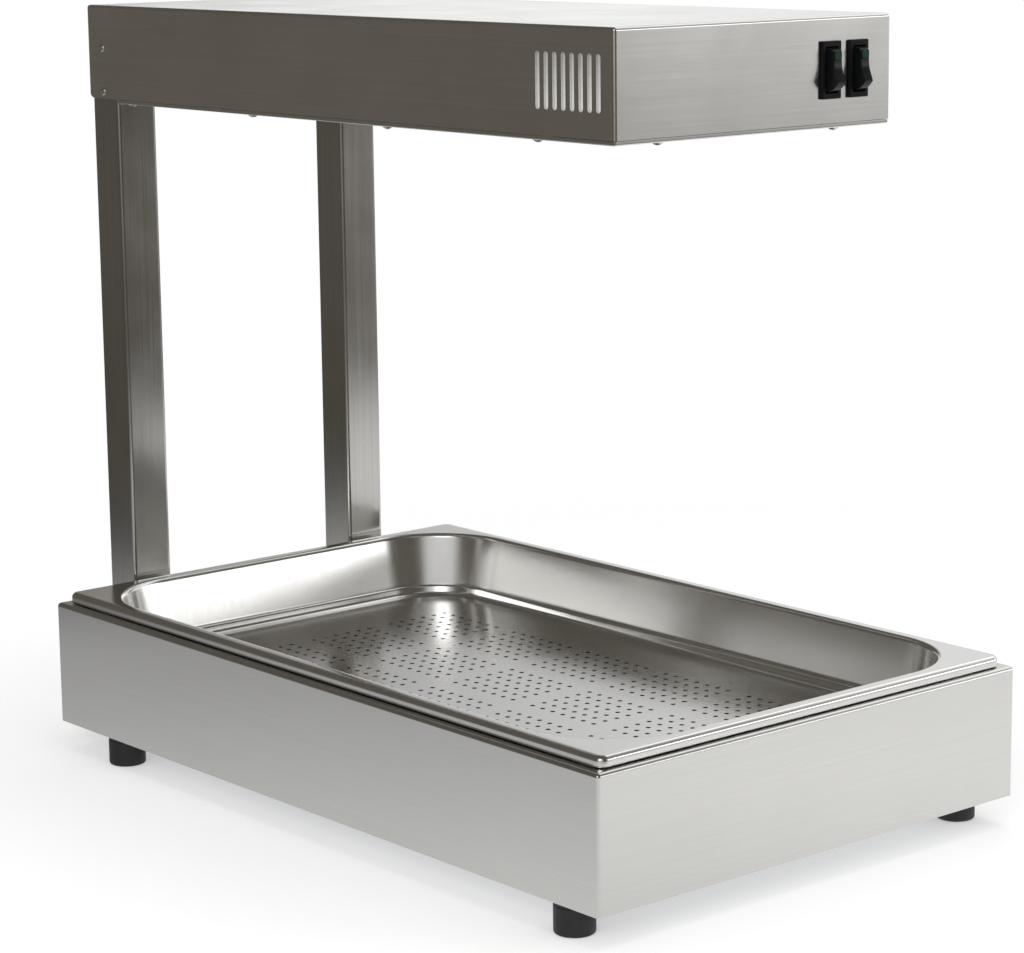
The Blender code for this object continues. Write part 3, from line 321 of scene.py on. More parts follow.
def combine(obj, shape, operation):
    other = solid("tool", shape)
    modifier = obj.modifiers.new("combine", "BOOLEAN")
    modifier.operation = operation
    modifier.solver = "EXACT"
    modifier.object = other
    baked(obj)
    bpy.data.objects.remove(other, do_unlink=True)
    return obj


def thicken(obj, thickness, side=-1.0):
    modifier = obj.modifiers.new("thickness", "SOLIDIFY")
    modifier.thickness = thickness
    modifier.offset = side
    modifier.use_even_offset = True
    return baked(obj)


def edge_axis(edge):
    run = edge.verts[1].co - edge.verts[0].co
    return max(range(3), key=lambda axis: abs(run[axis]))


def upright(edge):
    return edge_axis(edge) == 2


def along_x(edge):
    return edge_axis(edge) == 0


def along_y(edge):
    return edge_axis(edge) == 1


def round_off(shape, edges, radius, steps):
    bmesh.ops.bevel(shape, geom=edges, offset=radius, segments=steps, profile=0.5, affect="EDGES")


def add_block(shape, low, high, radius=0.0, steps=edge_steps, rounded=upright):
    """A box between two corners, with the edges that the test picks rounded off."""
    size = Vector(high) - Vector(low)
    middle = (Vector(high) + Vector(low)) / 2
    matrix = Matrix.Translation(middle) @ Matrix.Diagonal((*size, 1.0))
    made = bmesh.ops.create_cube(shape, size=1.0, matrix=matrix)
    if radius > 0.0:
        edges = {edge for vert in made["verts"] for edge in vert.link_edges if rounded(edge)}
        round_off(shape, list(edges), radius, steps)
    return shape


def block(low, high, radius=0.0, steps=edge_steps, rounded=upright):
    return add_block(bmesh.new(), low, high, radius, steps, rounded)


def crowned_block(low, high, radius):
    """A box whose upright edges and top edges are rounded."""
    level = (low[2] + high[2]) / 2

    def upright_or_top(edge):
        return upright(edge) or min(vert.co.z for vert in edge.verts) > level

    return block(low, high, radius, rounded=upright_or_top)


def turn_to(direction):
    return Vector((0.0, 0.0, 1.0)).rotation_difference(Vector(direction)).to_matrix().to_4x4()


def add_cylinder(shape, radius, length, centre, direction=(0.0, 0.0, 1.0), sides=turn_steps):
    matrix = Matrix.Translation(centre) @ turn_to(direction)
    bmesh.ops.create_cone(
        shape, cap_ends=True, segments=sides, radius1=radius, radius2=radius, depth=length, matrix=matrix
    )
    return shape


def cylinders(radius, length, centres, direction=(0.0, 0.0, 1.0), sides=turn_steps):
    shape = bmesh.new()
    for centre in centres:
        add_cylinder(shape, radius, length, centre, direction, sides)
    return shape


def spaced(count, pitch):
    """The places of a row about its middle."""
    return [(index - (count - 1) / 2) * pitch for index in range(count)]


def arc(centre, radius, start, end, steps):
    x, y = centre
    angles = [start + (end - start) * step / steps for step in range(steps + 1)]
    return [(x + radius * math.cos(angle), y + radius * math.sin(angle)) for angle in angles]


def ring(half_x, half_y, radius, level, steps=corner_steps):
    """A rounded rectangle as a loop of points, anticlockwise from +X."""
    points = []
    for quarter, (side_x, side_y) in enumerate(((1, 1), (-1, 1), (-1, -1), (1, -1))):
        for step in range(steps + 1):
            angle = math.pi / 2 * (quarter + step / steps)
            x = side_x * (half_x - radius) + radius * math.cos(angle)
            y = side_y * (half_y - radius) + radius * math.sin(angle)
            points.append((x, y, level))
    return points


def loft(rings):
    """An open surface through loops of equal count."""
    shape = bmesh.new()
    loops = [[shape.verts.new(point) for point in points] for points in rings]
    count = len(loops[0])
    for low, high in zip(loops, loops[1:]):
        for index in range(count):
            after = (index + 1) % count
            shape.faces.new((low[index], low[after], high[after], high[index]))
    return shape, loops[-1]


def turned(profile, steps=turn_steps):
    """A closed shape from (radius, height) points that run round a section, turned about Z."""
    shape = bmesh.new()
    verts = [shape.verts.new((radius, 0.0, height)) for radius, height in profile]
    sides = [pair for pair in zip(verts, verts[1:] + verts[:1]) if pair[0].co.x + pair[1].co.x > 0.0]
    edges = [shape.edges.new(pair) for pair in sides]
    bmesh.ops.spin(
        shape, geom=verts + edges, cent=(0.0, 0.0, 0.0), axis=(0.0, 0.0, 1.0), angle=2 * math.pi, steps=steps
    )
    bmesh.ops.remove_doubles(shape, verts=shape.verts, dist=weld_distance)
    bmesh.ops.dissolve_degenerate(shape, edges=shape.edges, dist=weld_distance)
    bmesh.ops.recalc_face_normals(shape, faces=shape.faces)
    return shape


def copies(shape, places):
    """One mesh set at several points, each with its +Z along a direction."""
    mesh = mesh_of("copy", shape)
    result = bmesh.new()
    for point, direction in places:
        before = len(result.verts)
        result.from_mesh(mesh)
        result.verts.ensure_lookup_table()
        matrix = Matrix.Translation(point) @ turn_to(direction)
        bmesh.ops.transform(result, matrix=matrix, verts=result.verts[before:])
    return result


def drawn_outline(outline, low, high):
    """A closed shape: (y, z) points drawn along X from one end to the other."""
    shape = bmesh.new()
    face = shape.faces.new([shape.verts.new((low, y, z)) for y, z in outline])
    moved = bmesh.ops.extrude_face_region(shape, geom=[face])["geom"]
    moved_verts = [item for item in moved if isinstance(item, bmesh.types.BMVert)]
    bmesh.ops.translate(shape, vec=(high - low, 0.0, 0.0), verts=moved_verts)
    bmesh.ops.recalc_face_normals(shape, faces=shape.faces)
    return shape


def dress(obj, look, replaced=(), body="gantry", angle=smooth_angle):
    """Finish a piece: a material, even shading, the body it rides on and the nodes it stands for."""
    obj.data.materials.clear()
    obj.data.materials.append(looks[look])
    obj.data.shade_smooth()
    obj.data.set_sharp_from_angle(angle=angle)
    modifier = obj.modifiers.new("shading", "WEIGHTED_NORMAL")
    modifier.keep_sharp = True
    baked(obj)
    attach(obj, body)
    if replaced:
        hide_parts(*replaced)


def piece(name, shape, look, replaced=(), body="gantry"):
    dress(solid(name, shape), look, replaced, body)


# Materials

looks = {}


def add_node(tree, kind, inputs=None, **settings):
    """A node with its settings, whose inputs are linked or set by name or number."""
    node = tree.nodes.new(kind)
    for name, value in settings.items():
        setattr(node, name, value)
    for name, value in (inputs or {}).items():
        if isinstance(value, bpy.types.NodeSocket):
            tree.links.new(value, node.inputs[name])
        else:
            node.inputs[name].default_value = value
    return node


def calculated(tree, operation, *values):
    return add_node(tree, "ShaderNodeMath", dict(enumerate(values)), operation=operation).outputs[0]


def coordinates(tree, kind):
    return add_node(tree, "ShaderNodeTexCoord").outputs[kind]


def separated(tree, source):
    """The X, Y and Z of a direction or place."""
    return add_node(tree, "ShaderNodeSeparateXYZ", {0: source}).outputs


def stretched_noise(tree, scale, detail=3.0):
    """Noise in the object's own metres, stretched by a scale for each axis."""
    mapping = add_node(tree, "ShaderNodeMapping", {"Vector": coordinates(tree, "Object"), "Scale": scale})
    values = {"Vector": mapping.outputs["Vector"], "Scale": 1.0, "Detail": detail, "Roughness": 0.55}
    return add_node(tree, "ShaderNodeTexNoise", values).outputs["Fac"]


def even_noise(tree, scale, detail=3.0):
    return stretched_noise(tree, (scale, scale, scale), detail)


def spread(tree, source, low, high, start=0.3, end=0.7, **settings):
    """A value carried from one range to another."""
    values = {"Value": source, "From Min": start, "From Max": end, "To Min": low, "To Max": high}
    return add_node(tree, "ShaderNodeMapRange", values, **settings).outputs["Result"]


def blend_colours(tree, factor, first, second):
    values = {0: factor}
    for number, colour in ((6, first), (7, second)):
        values[number] = colour if isinstance(colour, bpy.types.NodeSocket) else (*colour, 1.0)
    return add_node(tree, "ShaderNodeMix", values, data_type="RGBA").outputs[2]


def blend_values(tree, factor, first, second):
    values = {0: factor, 2: first, 3: second}
    return add_node(tree, "ShaderNodeMix", values, data_type="FLOAT").outputs[0]


def principled(name, metallic=0.0, **sockets):
    """The nodes of a new look, with the fixed values set on the shader's own sockets."""
    material = bpy.data.materials.new(name)
    material.use_nodes = True
    looks[name] = material
    shader = material.node_tree.nodes["Principled BSDF"]
    shader.inputs["Metallic"].default_value = metallic
    for socket, value in sockets.items():
        shader.inputs[socket.replace("_", " ")].default_value = value
    return material.node_tree


def surface(tree, colour, roughness, relief, strength, depth):
    """The varied colour, roughness and relief of a look."""
    bump = add_node(tree, "ShaderNodeBump", {"Height": relief, "Strength": strength, "Distance": depth})
    shader = tree.nodes["Principled BSDF"]
    tree.links.new(colour, shader.inputs["Base Color"])
    tree.links.new(roughness, shader.inputs["Roughness"])
    tree.links.new(bump.outputs["Normal"], shader.inputs["Normal"])


def flat_share(tree):
    """1 on faces that look up or down, 0 on upright ones."""
    height = separated(tree, coordinates(tree, "Normal"))["Z"]
    return spread(tree, calculated(tree, "ABSOLUTE", height), 0.0, 1.0, 0.6, 0.8)


def brushed_steel(name, light, dark, rough, upright_grain=False, grain=0.35):
    """Sheet with a fine straight grain, faint cloudy tone and a few finger-light marks."""
    tree = principled(name, 1.0)
    fine = brush_scale
    coarse = brush_band_scale
    slow = brush_run_scale
    if upright_grain:
        streaks = stretched_noise(tree, (fine, fine, slow), 2.0)
        bands = stretched_noise(tree, (coarse, coarse, slow / 2))
    else:
        level = flat_share(tree)
        on_sides = stretched_noise(tree, (slow, slow, fine), 2.0)
        on_top = stretched_noise(tree, (fine, slow, fine), 2.0)
        streaks = blend_values(tree, level, on_sides, on_top)
        side_bands = stretched_noise(tree, (slow / 2, slow / 2, coarse))
        top_bands = stretched_noise(tree, (coarse, slow / 2, coarse))
        bands = blend_values(tree, level, side_bands, top_bands)
    clouds = even_noise(tree, cloud_scale)
    tone = blend_values(tree, brush_cloud_share, bands, clouds)
    colour = blend_colours(tree, spread(tree, tone, 0.0, 1.0), dark, light)
    polish = spread(tree, blend_values(tree, 0.5, streaks, clouds), *rough)
    surface(tree, colour, polish, streaks, grain, brush_depth)


def satin_steel(name, light, dark, rough):
    """Drawn bright steel: cloudy polish with a trace of drawing lines."""
    tree = principled(name, 1.0)
    clouds = stretched_noise(tree, (cloud_scale, cloud_scale, drawn_cloud_scale))
    lines = stretched_noise(tree, (draw_line_scale, draw_line_scale, draw_run_scale), 2.0)
    colour = blend_colours(tree, spread(tree, clouds, 0.0, 1.0), dark, light)
    polish = spread(tree, blend_values(tree, draw_line_share, clouds, lines), *rough)
    surface(tree, colour, polish, clouds, 0.15, drawn_depth)


def speckled(name, light, dark, rough, metallic, scale, bump=0.2, depth=0.0002, **sockets):
    """A surface with a fine speckle in its colour, roughness and height."""
    tree = principled(name, metallic, **sockets)
    grain = even_noise(tree, scale, 4.0)
    clouds = even_noise(tree, scale / speckles_per_cloud)
    tone = spread(tree, blend_values(tree, 0.5, grain, clouds), 0.0, 1.0)
    colour = blend_colours(tree, tone, dark, light)
    surface(tree, colour, spread(tree, clouds, *rough), grain, bump, depth)


def shaded_board(name, light, dark, rough):
    """A matt pale board behind the vents, with painted shade that makes it greyer towards its top, where
    less light gets in.
    """
    tree = principled(name)
    grain = even_noise(tree, board_scale, 4.0)
    height = separated(tree, coordinates(tree, "Generated"))["Z"]
    # Painted shade: the colour darkens towards the top of the board.
    shade = spread(tree, height, 0.0, 0.85, 0.15, 0.95)
    tone = calculated(tree, "ADD", shade, spread(tree, grain, 0.0, 0.15))
    surface(tree, blend_colours(tree, tone, light, dark), spread(tree, grain, *rough), grain, 0.3, 0.0002)


def spangled_zinc(name, light, dark, rough):
    """Zinc plating with faint crystals."""
    tree = principled(name, 1.0)
    values = {"Vector": coordinates(tree, "Object"), "Scale": crystal_scale}
    cells = add_node(tree, "ShaderNodeTexVoronoi", values, feature="F1")
    tone = spread(tree, cells.outputs["Distance"], 0.0, 1.0, 0.1, 0.8)
    colour = blend_colours(tree, tone, dark, light)
    surface(tree, colour, spread(tree, tone, *rough, 0.0, 1.0), tone, 0.15, 0.0002)


# Each call gives a look's light and dark colours and its range of roughness.
brushed_steel("base_steel", (0.74, 0.735, 0.715), (0.70, 0.695, 0.675), (0.18, 0.26), grain=0.2)
brushed_steel("head_steel", (0.83, 0.825, 0.80), (0.73, 0.72, 0.69), (0.14, 0.22), grain=0.15)
brushed_steel("post_steel", (0.62, 0.61, 0.585), (0.50, 0.49, 0.465), (0.13, 0.22), True, 0.25)
satin_steel("pan_steel", (0.82, 0.815, 0.795), (0.77, 0.765, 0.745), (0.16, 0.23))
satin_steel("insert_steel", (0.80, 0.795, 0.775), (0.76, 0.755, 0.735), (0.15, 0.21))
spangled_zinc("zinc_steel", (0.60, 0.61, 0.62), (0.50, 0.51, 0.53), (0.32, 0.46))
shaded_board("liner_board", (0.95, 0.94, 0.92), (0.50, 0.49, 0.47), (0.60, 0.80))

# These add the metal share, the speckle's scale, and its strength and depth.
speckled("screw_steel", (0.74, 0.74, 0.72), (0.62, 0.62, 0.60), (0.16, 0.28), 1.0, 900.0)
speckled("wire_steel", (0.78, 0.78, 0.78), (0.68, 0.68, 0.68), (0.10, 0.20), 1.0, 700.0, 0.1)
speckled("filament", (0.30, 0.26, 0.23), (0.20, 0.17, 0.15), (0.45, 0.60), 1.0, 2000.0)
speckled("aluminium", (0.78, 0.79, 0.80), (0.68, 0.69, 0.70), (0.26, 0.40), 1.0, 300.0, 0.1)
speckled("polished_aluminium", (0.88, 0.88, 0.88), (0.80, 0.80, 0.81), (0.08, 0.16), 1.0, 120.0, 0.08)
speckled("foot_rubber", (0.020, 0.020, 0.021), (0.010, 0.010, 0.011), (0.50, 0.72), 0.0, 900.0, 0.4)
speckled("cable_rubber", (0.022, 0.022, 0.023), (0.012, 0.012, 0.013), (0.48, 0.66), 0.0, 900.0, 0.3)
speckled("wire_insulation", (0.62, 0.56, 0.46), (0.44, 0.40, 0.33), (0.60, 0.80), 0.0, 1800.0, 0.5, 0.0003)
speckled("ceramic", (0.84, 0.81, 0.74), (0.74, 0.71, 0.64), (0.50, 0.66), 0.0, 600.0, 0.25, 0.0003)
speckled(
    "black_plastic", (0.009, 0.009, 0.010), (0.005, 0.005, 0.005), (0.34, 0.50), 0.0, 1500.0, 0.25,
    0.0001, Specular_IOR_Level=0.12,
)
speckled(
    "gloss_black_plastic", (0.009, 0.010, 0.010), (0.005, 0.006, 0.006), (0.16, 0.26), 0.0, 1200.0, 0.08,
    0.0001, Specular_IOR_Level=0.13,
)
speckled(
    "green_lens", (0.003, 0.045, 0.024), (0.002, 0.028, 0.015), (0.06, 0.12), 0.0, 500.0, 0.05,
    Specular_IOR_Level=0.2,
)
speckled(
    "quartz", (0.93, 0.92, 0.90), (0.84, 0.83, 0.80), (0.28, 0.42), 0.0, 500.0, 0.1,
    Transmission_Weight=0.85,
)


# Screws

def domed_screw(radius, height):
    """A domed head with a cross recess, standing on z = 0."""
    ball = (radius**2 + height**2) / (2 * height)
    start = math.asin(radius / ball)
    dome = [
        (ball * math.sin(angle), height - ball + ball * math.cos(angle))
        for angle in (start * (1 - step / edge_steps) for step in range(edge_steps + 1))
    ]
    head = solid("head", turned([(0.0, -gap), (radius, -gap)] + dome, small_turn_steps))
    reach = cross_share * radius
    low = height * (1 - cross_depth_share)
    for across, along in ((cross_width / 2, reach), (reach, cross_width / 2)):
        slot = block((-across, -along, low), (across, along, 2 * height))
        bmesh.ops.transform(slot, matrix=Matrix.Rotation(cross_turn, 4, "Z"), verts=slot.verts)
        cut(head, slot)
    shape = bmesh.new()
    shape.from_mesh(head.data)
    bpy.data.objects.remove(head, do_unlink=True)
    return shape


def make_side_screws():
    for number in range(1, 5):
        name = f"head_side_screw_{number}"
        low, high = box_of(name)
        side = -1.0 if low.x < 0.0 else 1.0
        outer = high.x if side > 0.0 else low.x
        place = (outer - side * side_head_height, post_middle, (low.z + high.z) / 2)
        shape = copies(domed_screw(side_head_radius, side_head_height), [(place, (side, 0.0, 0.0))])
        piece(f"{name}_head", shape, "screw_steel", [name])


# Base

def make_base_shell():
    outer = within(base_low, base_high, 0.0, base_bottom, base_top)
    shell = solid("base_shell", crowned_block(*outer, base_edge_radius))
    seat_corner = pan_mouth_corner_radius + pan_mouth_inset - pan_seat_inset
    collar_top = rim_level - pan_sheet - gap
    collar = within(pan_low, pan_high, pan_seat_inset - sheet, base_top - sheet / 2, collar_top)
    join(shell, block(*collar, seat_corner + sheet, corner_steps))
    lip_bottom = base_bottom + sheet + gap
    inner_radius = base_edge_radius - sheet
    cavity = within(base_low, base_high, sheet, lip_bottom + sheet, base_top - sheet)
    cut(shell, crowned_block(*cavity, inner_radius))
    recess = within(base_low, base_high, sheet, base_bottom - overrun, lip_bottom)
    cut(shell, block(*recess, inner_radius))
    hatch = within(base_low, base_high, base_lip_width, base_bottom - overrun, base_bottom + 3 * sheet)
    cut(shell, block(*hatch, base_edge_radius))
    well = within(pan_low, pan_high, pan_seat_inset, base_top - 2 * sheet, rim_level + overrun)
    cut(shell, block(*well, seat_corner, corner_steps))
    gland_middle = middle_of("cable_gland")
    for x, radius in ((gland_middle.x, gland_hole_radius), (middle_of("post_right").x, cable_hole_radius)):
        cut(shell, cylinders(radius, 2 * overrun, [(x, base_high.y, gland_middle.z)], rearwards))
    dress(shell, "base_steel", ["base_housing"])


def make_bottom_plate():
    corners = within(*box_of("base_bottom_plate"), 0.0, base_bottom, base_bottom + sheet)
    plate = solid("bottom_plate", block(*corners, base_edge_radius - sheet))
    slots = bmesh.new()
    reach = Vector((base_slot_length / 2, base_slot_width / 2, overrun))
    for side in (-1, 1):
        for place in spaced(base_slot_count, base_slot_pitch):
            y = base_middle + side * base_slot_centre_share * base_length + place
            centre = Vector((0.0, y, base_bottom))
            add_block(slots, centre - reach, centre + reach, slot_end_share * base_slot_width / 2)
    cut(plate, slots)
    dress(plate, "zinc_steel", ["base_bottom_plate"])
    side = base_width / 2 - base_plate_screw_inset
    end = base_length / 2 - base_plate_screw_inset
    places = [(x, base_middle + y) for x in (-side, side) for y in (-end / 2, end / 2)]
    places += [(x, base_middle + y) for y in (-end, end) for x in (-side / 2, side / 2)]
    head = domed_screw(small_head_radius, small_head_height)
    screws = copies(head, [((x, y, base_bottom), downwards) for x, y in places])
    piece("bottom_plate_screws", screws, "screw_steel")


def make_feet():
    low, high = box_of("foot_1")
    radius = (high.x - low.x) / 2
    height = high.z
    neck = radius - foot_neck_depth
    edge = foot_edge_radius
    outer = [(foot_hole_radius, height), (neck, height)]
    outer += [(neck, height - foot_neck_height), (radius, height - foot_neck_height - foot_neck_depth)]
    outer += arc((radius - edge, edge), edge, 0.0, -math.pi / 2, edge_steps + 2)
    outer += [(foot_bore_radius, 0.0), (foot_bore_radius, foot_bore_depth)]
    outer += [(foot_hole_radius, foot_bore_depth)]
    for number in range(1, 5):
        x, y = middle_of(f"foot_{number}").xy
        shape = turned(outer)
        bmesh.ops.translate(shape, vec=(x, y, 0.0), verts=shape.verts)
        piece(f"foot_{number}_rubber", shape, "foot_rubber", [f"foot_{number}"])
        head = domed_screw(foot_head_radius, foot_head_height)
        screw = copies(head, [((x, y, foot_bore_depth - gap), downwards)])
        piece(f"foot_{number}_screw", screw, "zinc_steel", [f"foot_screw_{number}"])


# Pan and insert

def pan_ring(inset, corner, depth):
    """A loop of the pan, by its inset from the mouth and its depth under the rim."""
    points = ring(mouth_half_x - inset, mouth_half_y - inset, corner, rim_level - depth)
    return [(x, y + base_middle, z) for x, y, z in points]


def floor_arc():
    """The centre of the pan's floor radius, as its inset and depth."""
    pan_depth = rim_level - pan_low.z - pan_sheet
    depth = pan_depth - pan_floor_radius
    meeting = depth + pan_floor_radius * math.sin(pan_draft_angle)
    meeting_inset = (meeting - pan_mouth_edge_radius) * math.tan(pan_draft_angle)
    return meeting_inset + pan_floor_radius * math.cos(pan_draft_angle), depth


def make_pan():
    lip_corner = pan_rim_corner_radius
    outer = -pan_mouth_inset
    rings = [pan_ring(outer, lip_corner, pan_lip_height)]
    for across, up in arc((0.0, 0.0), pan_rim_radius, 0.0, math.pi / 2, edge_steps):
        inset = outer + pan_rim_radius - across
        rings.append(pan_ring(inset, lip_corner - pan_rim_radius + across, pan_rim_radius - up))
    mouth_edge = pan_mouth_edge_radius
    for across, up in arc((0.0, 0.0), mouth_edge, math.pi / 2, math.pi - pan_draft_angle, edge_steps + 2):
        inset = -mouth_edge - across
        rings.append(pan_ring(inset, pan_mouth_corner_radius - inset, mouth_edge - up))
    centre_inset, centre_depth = floor_arc()
    sweep = arc((0.0, 0.0), pan_floor_radius, pan_draft_angle, math.pi / 2, corner_steps)
    for across, down in sweep:
        inset = centre_inset - across
        rings.append(pan_ring(inset, pan_mouth_corner_radius - inset, centre_depth + down))
    shape, last = loft(rings)
    shape.faces.new(last)
    pan = thicken(solid("pan_bowl", shape), pan_sheet)
    dress(pan, "pan_steel", ["pan"], "pan", angle=pan_smooth_angle)


def hole_places():
    """Centres of the holes: blocks with one pitch left plain between them."""
    places = []
    for middle_x in spaced(blocks_across, (block_columns + 1) * hole_pitch):
        for middle_y in spaced(blocks_along, (block_rows + 1) * hole_pitch):
            for x in spaced(block_columns, hole_pitch):
                for y in spaced(block_rows, hole_pitch):
                    places.append((middle_x + x, middle_y + y + base_middle))
    return places


def flat_outline(curve, points):
    spline = curve.splines.new("POLY")
    spline.points.add(len(points) - 1)
    for target, point in zip(spline.points, points):
        target.co = (point[0], point[1], 0.0, 1.0)
    spline.use_cyclic_u = True


def perforated_sheet(outline, level):
    """A flat sheet inside an outline, with every hole left open."""
    curve = bpy.data.curves.new("sheet", "CURVE")
    curve.dimensions = "2D"
    curve.fill_mode = "BOTH"
    flat_outline(curve, outline)
    last = 2 * math.pi * (1 - 1 / hole_sides)
    for place in hole_places():
        flat_outline(curve, arc(place, hole_radius, 0.0, last, hole_sides - 1))
    shape = bmesh.new()
    shape.from_mesh(curve_mesh(curve))
    bmesh.ops.translate(shape, vec=(0.0, 0.0, level), verts=shape.verts)
    bmesh.ops.remove_doubles(shape, verts=shape.verts, dist=weld_distance)
    for method in ("AREA", "ANGLE"):
        inner = [edge for edge in shape.edges if len(edge.link_faces) == 2]
        bmesh.ops.beautify_fill(shape, faces=shape.faces[:], edges=inner, method=method)
    bmesh.ops.dissolve_degenerate(shape, edges=shape.edges[:], dist=weld_distance)
    return shape


def make_insert():
    centre_inset, centre_depth = floor_arc()
    reach = centre_inset - insert_skirt_inset
    skirt_depth = centre_depth + math.sqrt((pan_floor_radius - gap) ** 2 - reach**2)
    bead_depth = insert_bead_depth + insert_bead_radius
    bead_inset = insert_skirt_inset + insert_bead_radius
    slope = insert_slope
    radius = insert_fillet_radius
    profile = [(insert_skirt_inset, skirt_depth)]
    for across, up in arc((0.0, 0.0), insert_bead_radius, 0.0, math.pi / 2 + slope, 2 * edge_steps):
        profile.append((bead_inset - across, bead_depth - up))
    bead_end = profile[-1]
    fillet_depth = insert_floor_depth - radius
    run = (fillet_depth + radius * math.cos(slope) - bead_end[1]) / math.tan(slope)
    fillet_inset = bead_end[0] + run + radius * math.sin(slope)
    for across, down in arc((0.0, 0.0), radius, math.pi / 2 - slope, math.pi / 2, edge_steps + 2):
        profile.append((fillet_inset - across, fillet_depth + down))
    rings = [pan_ring(inset, pan_mouth_corner_radius - inset, depth) for inset, depth in profile]
    shape = loft(rings)[0]
    floor = perforated_sheet(rings[-1], rim_level - insert_floor_depth)
    shape.from_mesh(mesh_of("floor", floor))
    bmesh.ops.remove_doubles(shape, verts=shape.verts, dist=weld_distance)
    bmesh.ops.recalc_face_normals(shape, faces=shape.faces)
    largest = max(shape.faces, key=lambda face: face.calc_area())
    if largest.normal.z < 0.0:
        bmesh.ops.reverse_faces(shape, faces=shape.faces)
    insert = thicken(solid("insert_tray", shape), insert_sheet)
    dress(insert, "insert_steel", ["insert_frame", "insert_floor"], "insert")


# Posts

def make_post(name):
    low, high = box_of(name)
    tube = solid(f"{name}_tube", block(low, high, post_corner_radius, edge_steps + 2))
    bore = within(low, high, post_wall, low.z - overrun, high.z + overrun)
    cut(tube, block(*bore, post_corner_radius - post_wall))
    dress(tube, "post_steel", [name])


# Head

def make_head_shell():
    shell = solid("head_shell", crowned_block(head_low, head_high, head_edge_radius))
    cavity = within(head_low, head_high, sheet, head_low.z + sheet, head_high.z - sheet)
    cut(shell, crowned_block(*cavity, head_edge_radius - sheet))
    rear = head_high.y - sheet
    for inset, front in ((head_lip_width, head_low.y + head_lip_width), (sheet, post_low.y - gap)):
        low = (head_low.x + inset, front, head_low.z - overrun)
        cut(shell, block(low, (head_high.x - inset, rear, head_low.z + overrun)))
    radius = head_rear_corner_radius
    centre = (head_high.y - radius, head_low.z + radius)
    curve = arc(centre, radius, 0.0, -math.pi / 2, 2 * edge_steps)
    outline = [(head_high.y + overrun, centre[1])] + curve
    outline += [(centre[0], head_low.z - overrun), (head_high.y + overrun, head_low.z - overrun)]
    cut(shell, drawn_outline(outline, head_low.x - overrun, head_high.x + overrun))

    vents = bmesh.new()
    for place in spaced(vent_count, vent_pitch):
        y = head_low.y + vent_centre_inset + place
        low = (head_low.x - overrun, y - vent_width / 2, head_level - vent_height / 2)
        high = (head_high.x + overrun, y + vent_width / 2, head_level + vent_height / 2)
        add_block(vents, low, high, slot_end_share * vent_width / 2, rounded=along_x)
    cut(shell, vents)
    openings = bmesh.new()
    for x in switch_places().values():
        low = (x - switch_body_width / 2, head_low.y - overrun, head_level - switch_body_height / 2)
        high = (x + switch_body_width / 2, head_low.y + overrun, head_level + switch_body_height / 2)
        add_block(openings, low, high)
    cut(shell, openings)
    dress(shell, "head_steel", ["head_housing"])


def panel_screw_places():
    side = head_width / 2 - panel_screw_inset
    rear = post_low.y - panel_screw_inset
    rows = [rear - index * panel_screw_pitch for index in range(panel_screw_count)]
    front = head_low.y + panel_screw_inset
    half = panel_screw_front_spacing / 2
    return [(x, y) for x in (-side, side) for y in rows] + [(-half, front), (half, front)]


def make_head_panel():
    bottom = panel_bottom
    top = head_low.z - gap

    def lower_or_upright(edge):
        return upright(edge) or max(vert.co.z for vert in edge.verts) < (bottom + top) / 2

    outer = within(panel_low, panel_high, 0.0, bottom, top)
    panel = solid("head_panel", block(*outer, panel_edge_radius, rounded=lower_or_upright))
    inside = within(panel_low, panel_high, panel_sheet, bottom + panel_sheet, top + overrun)
    cut(panel, block(*inside, panel_edge_radius / 2))
    opening = within(guard_low, guard_high, guard_bearing, bottom - overrun, bottom + overrun)
    cut(panel, block(*opening, panel_corner_radius))
    notches = bmesh.new()
    for name in ("post_left", "post_right"):
        notch_low, notch_high = box_of(name)
        notch_low = Vector((notch_low.x - gap, post_low.y - gap, bottom - overrun))
        notch_high = Vector((notch_high.x + gap, head_high.y + overrun, top + overrun))
        if name == "post_left":
            notch_low.x = head_low.x - overrun
        else:
            notch_high.x = head_high.x + overrun
        add_block(notches, notch_low, notch_high)
    cut(panel, notches)
    dress(panel, "head_steel", ["head_bottom_panel"])
    head = domed_screw(small_head_radius, small_head_height)
    places = [((x, y, bottom), downwards) for x, y in panel_screw_places()]
    piece("head_panel_screws", copies(head, places), "screw_steel")


# Heater compartment

def make_reflector():
    low_x = reflector_low.x
    lobe_x = lobe_half_width + lobe_spacing / 2
    level = reflector_low.z
    points = [(low_x, level)]
    for side in (-1, 1):
        for step in range(lobe_steps + 1):
            share = 2 * step / lobe_steps - 1
            height = lobe_depth * (1 - share**2)
            points.append((side * lobe_x + share * lobe_half_width, level + height))
    points.append((-low_x, level))
    shape = bmesh.new()
    front = [shape.verts.new((x, reflector_low.y, z)) for x, z in points]
    rear = [shape.verts.new((x, reflector_high.y, z)) for x, z in points]
    for index in range(len(points) - 1):
        shape.faces.new((front[index], front[index + 1], rear[index + 1], rear[index]))
    reflector = thicken(solid("reflector_sheet", shape), reflector_sheet, 1.0)
    dress(reflector, "polished_aluminium", ["reflector"])


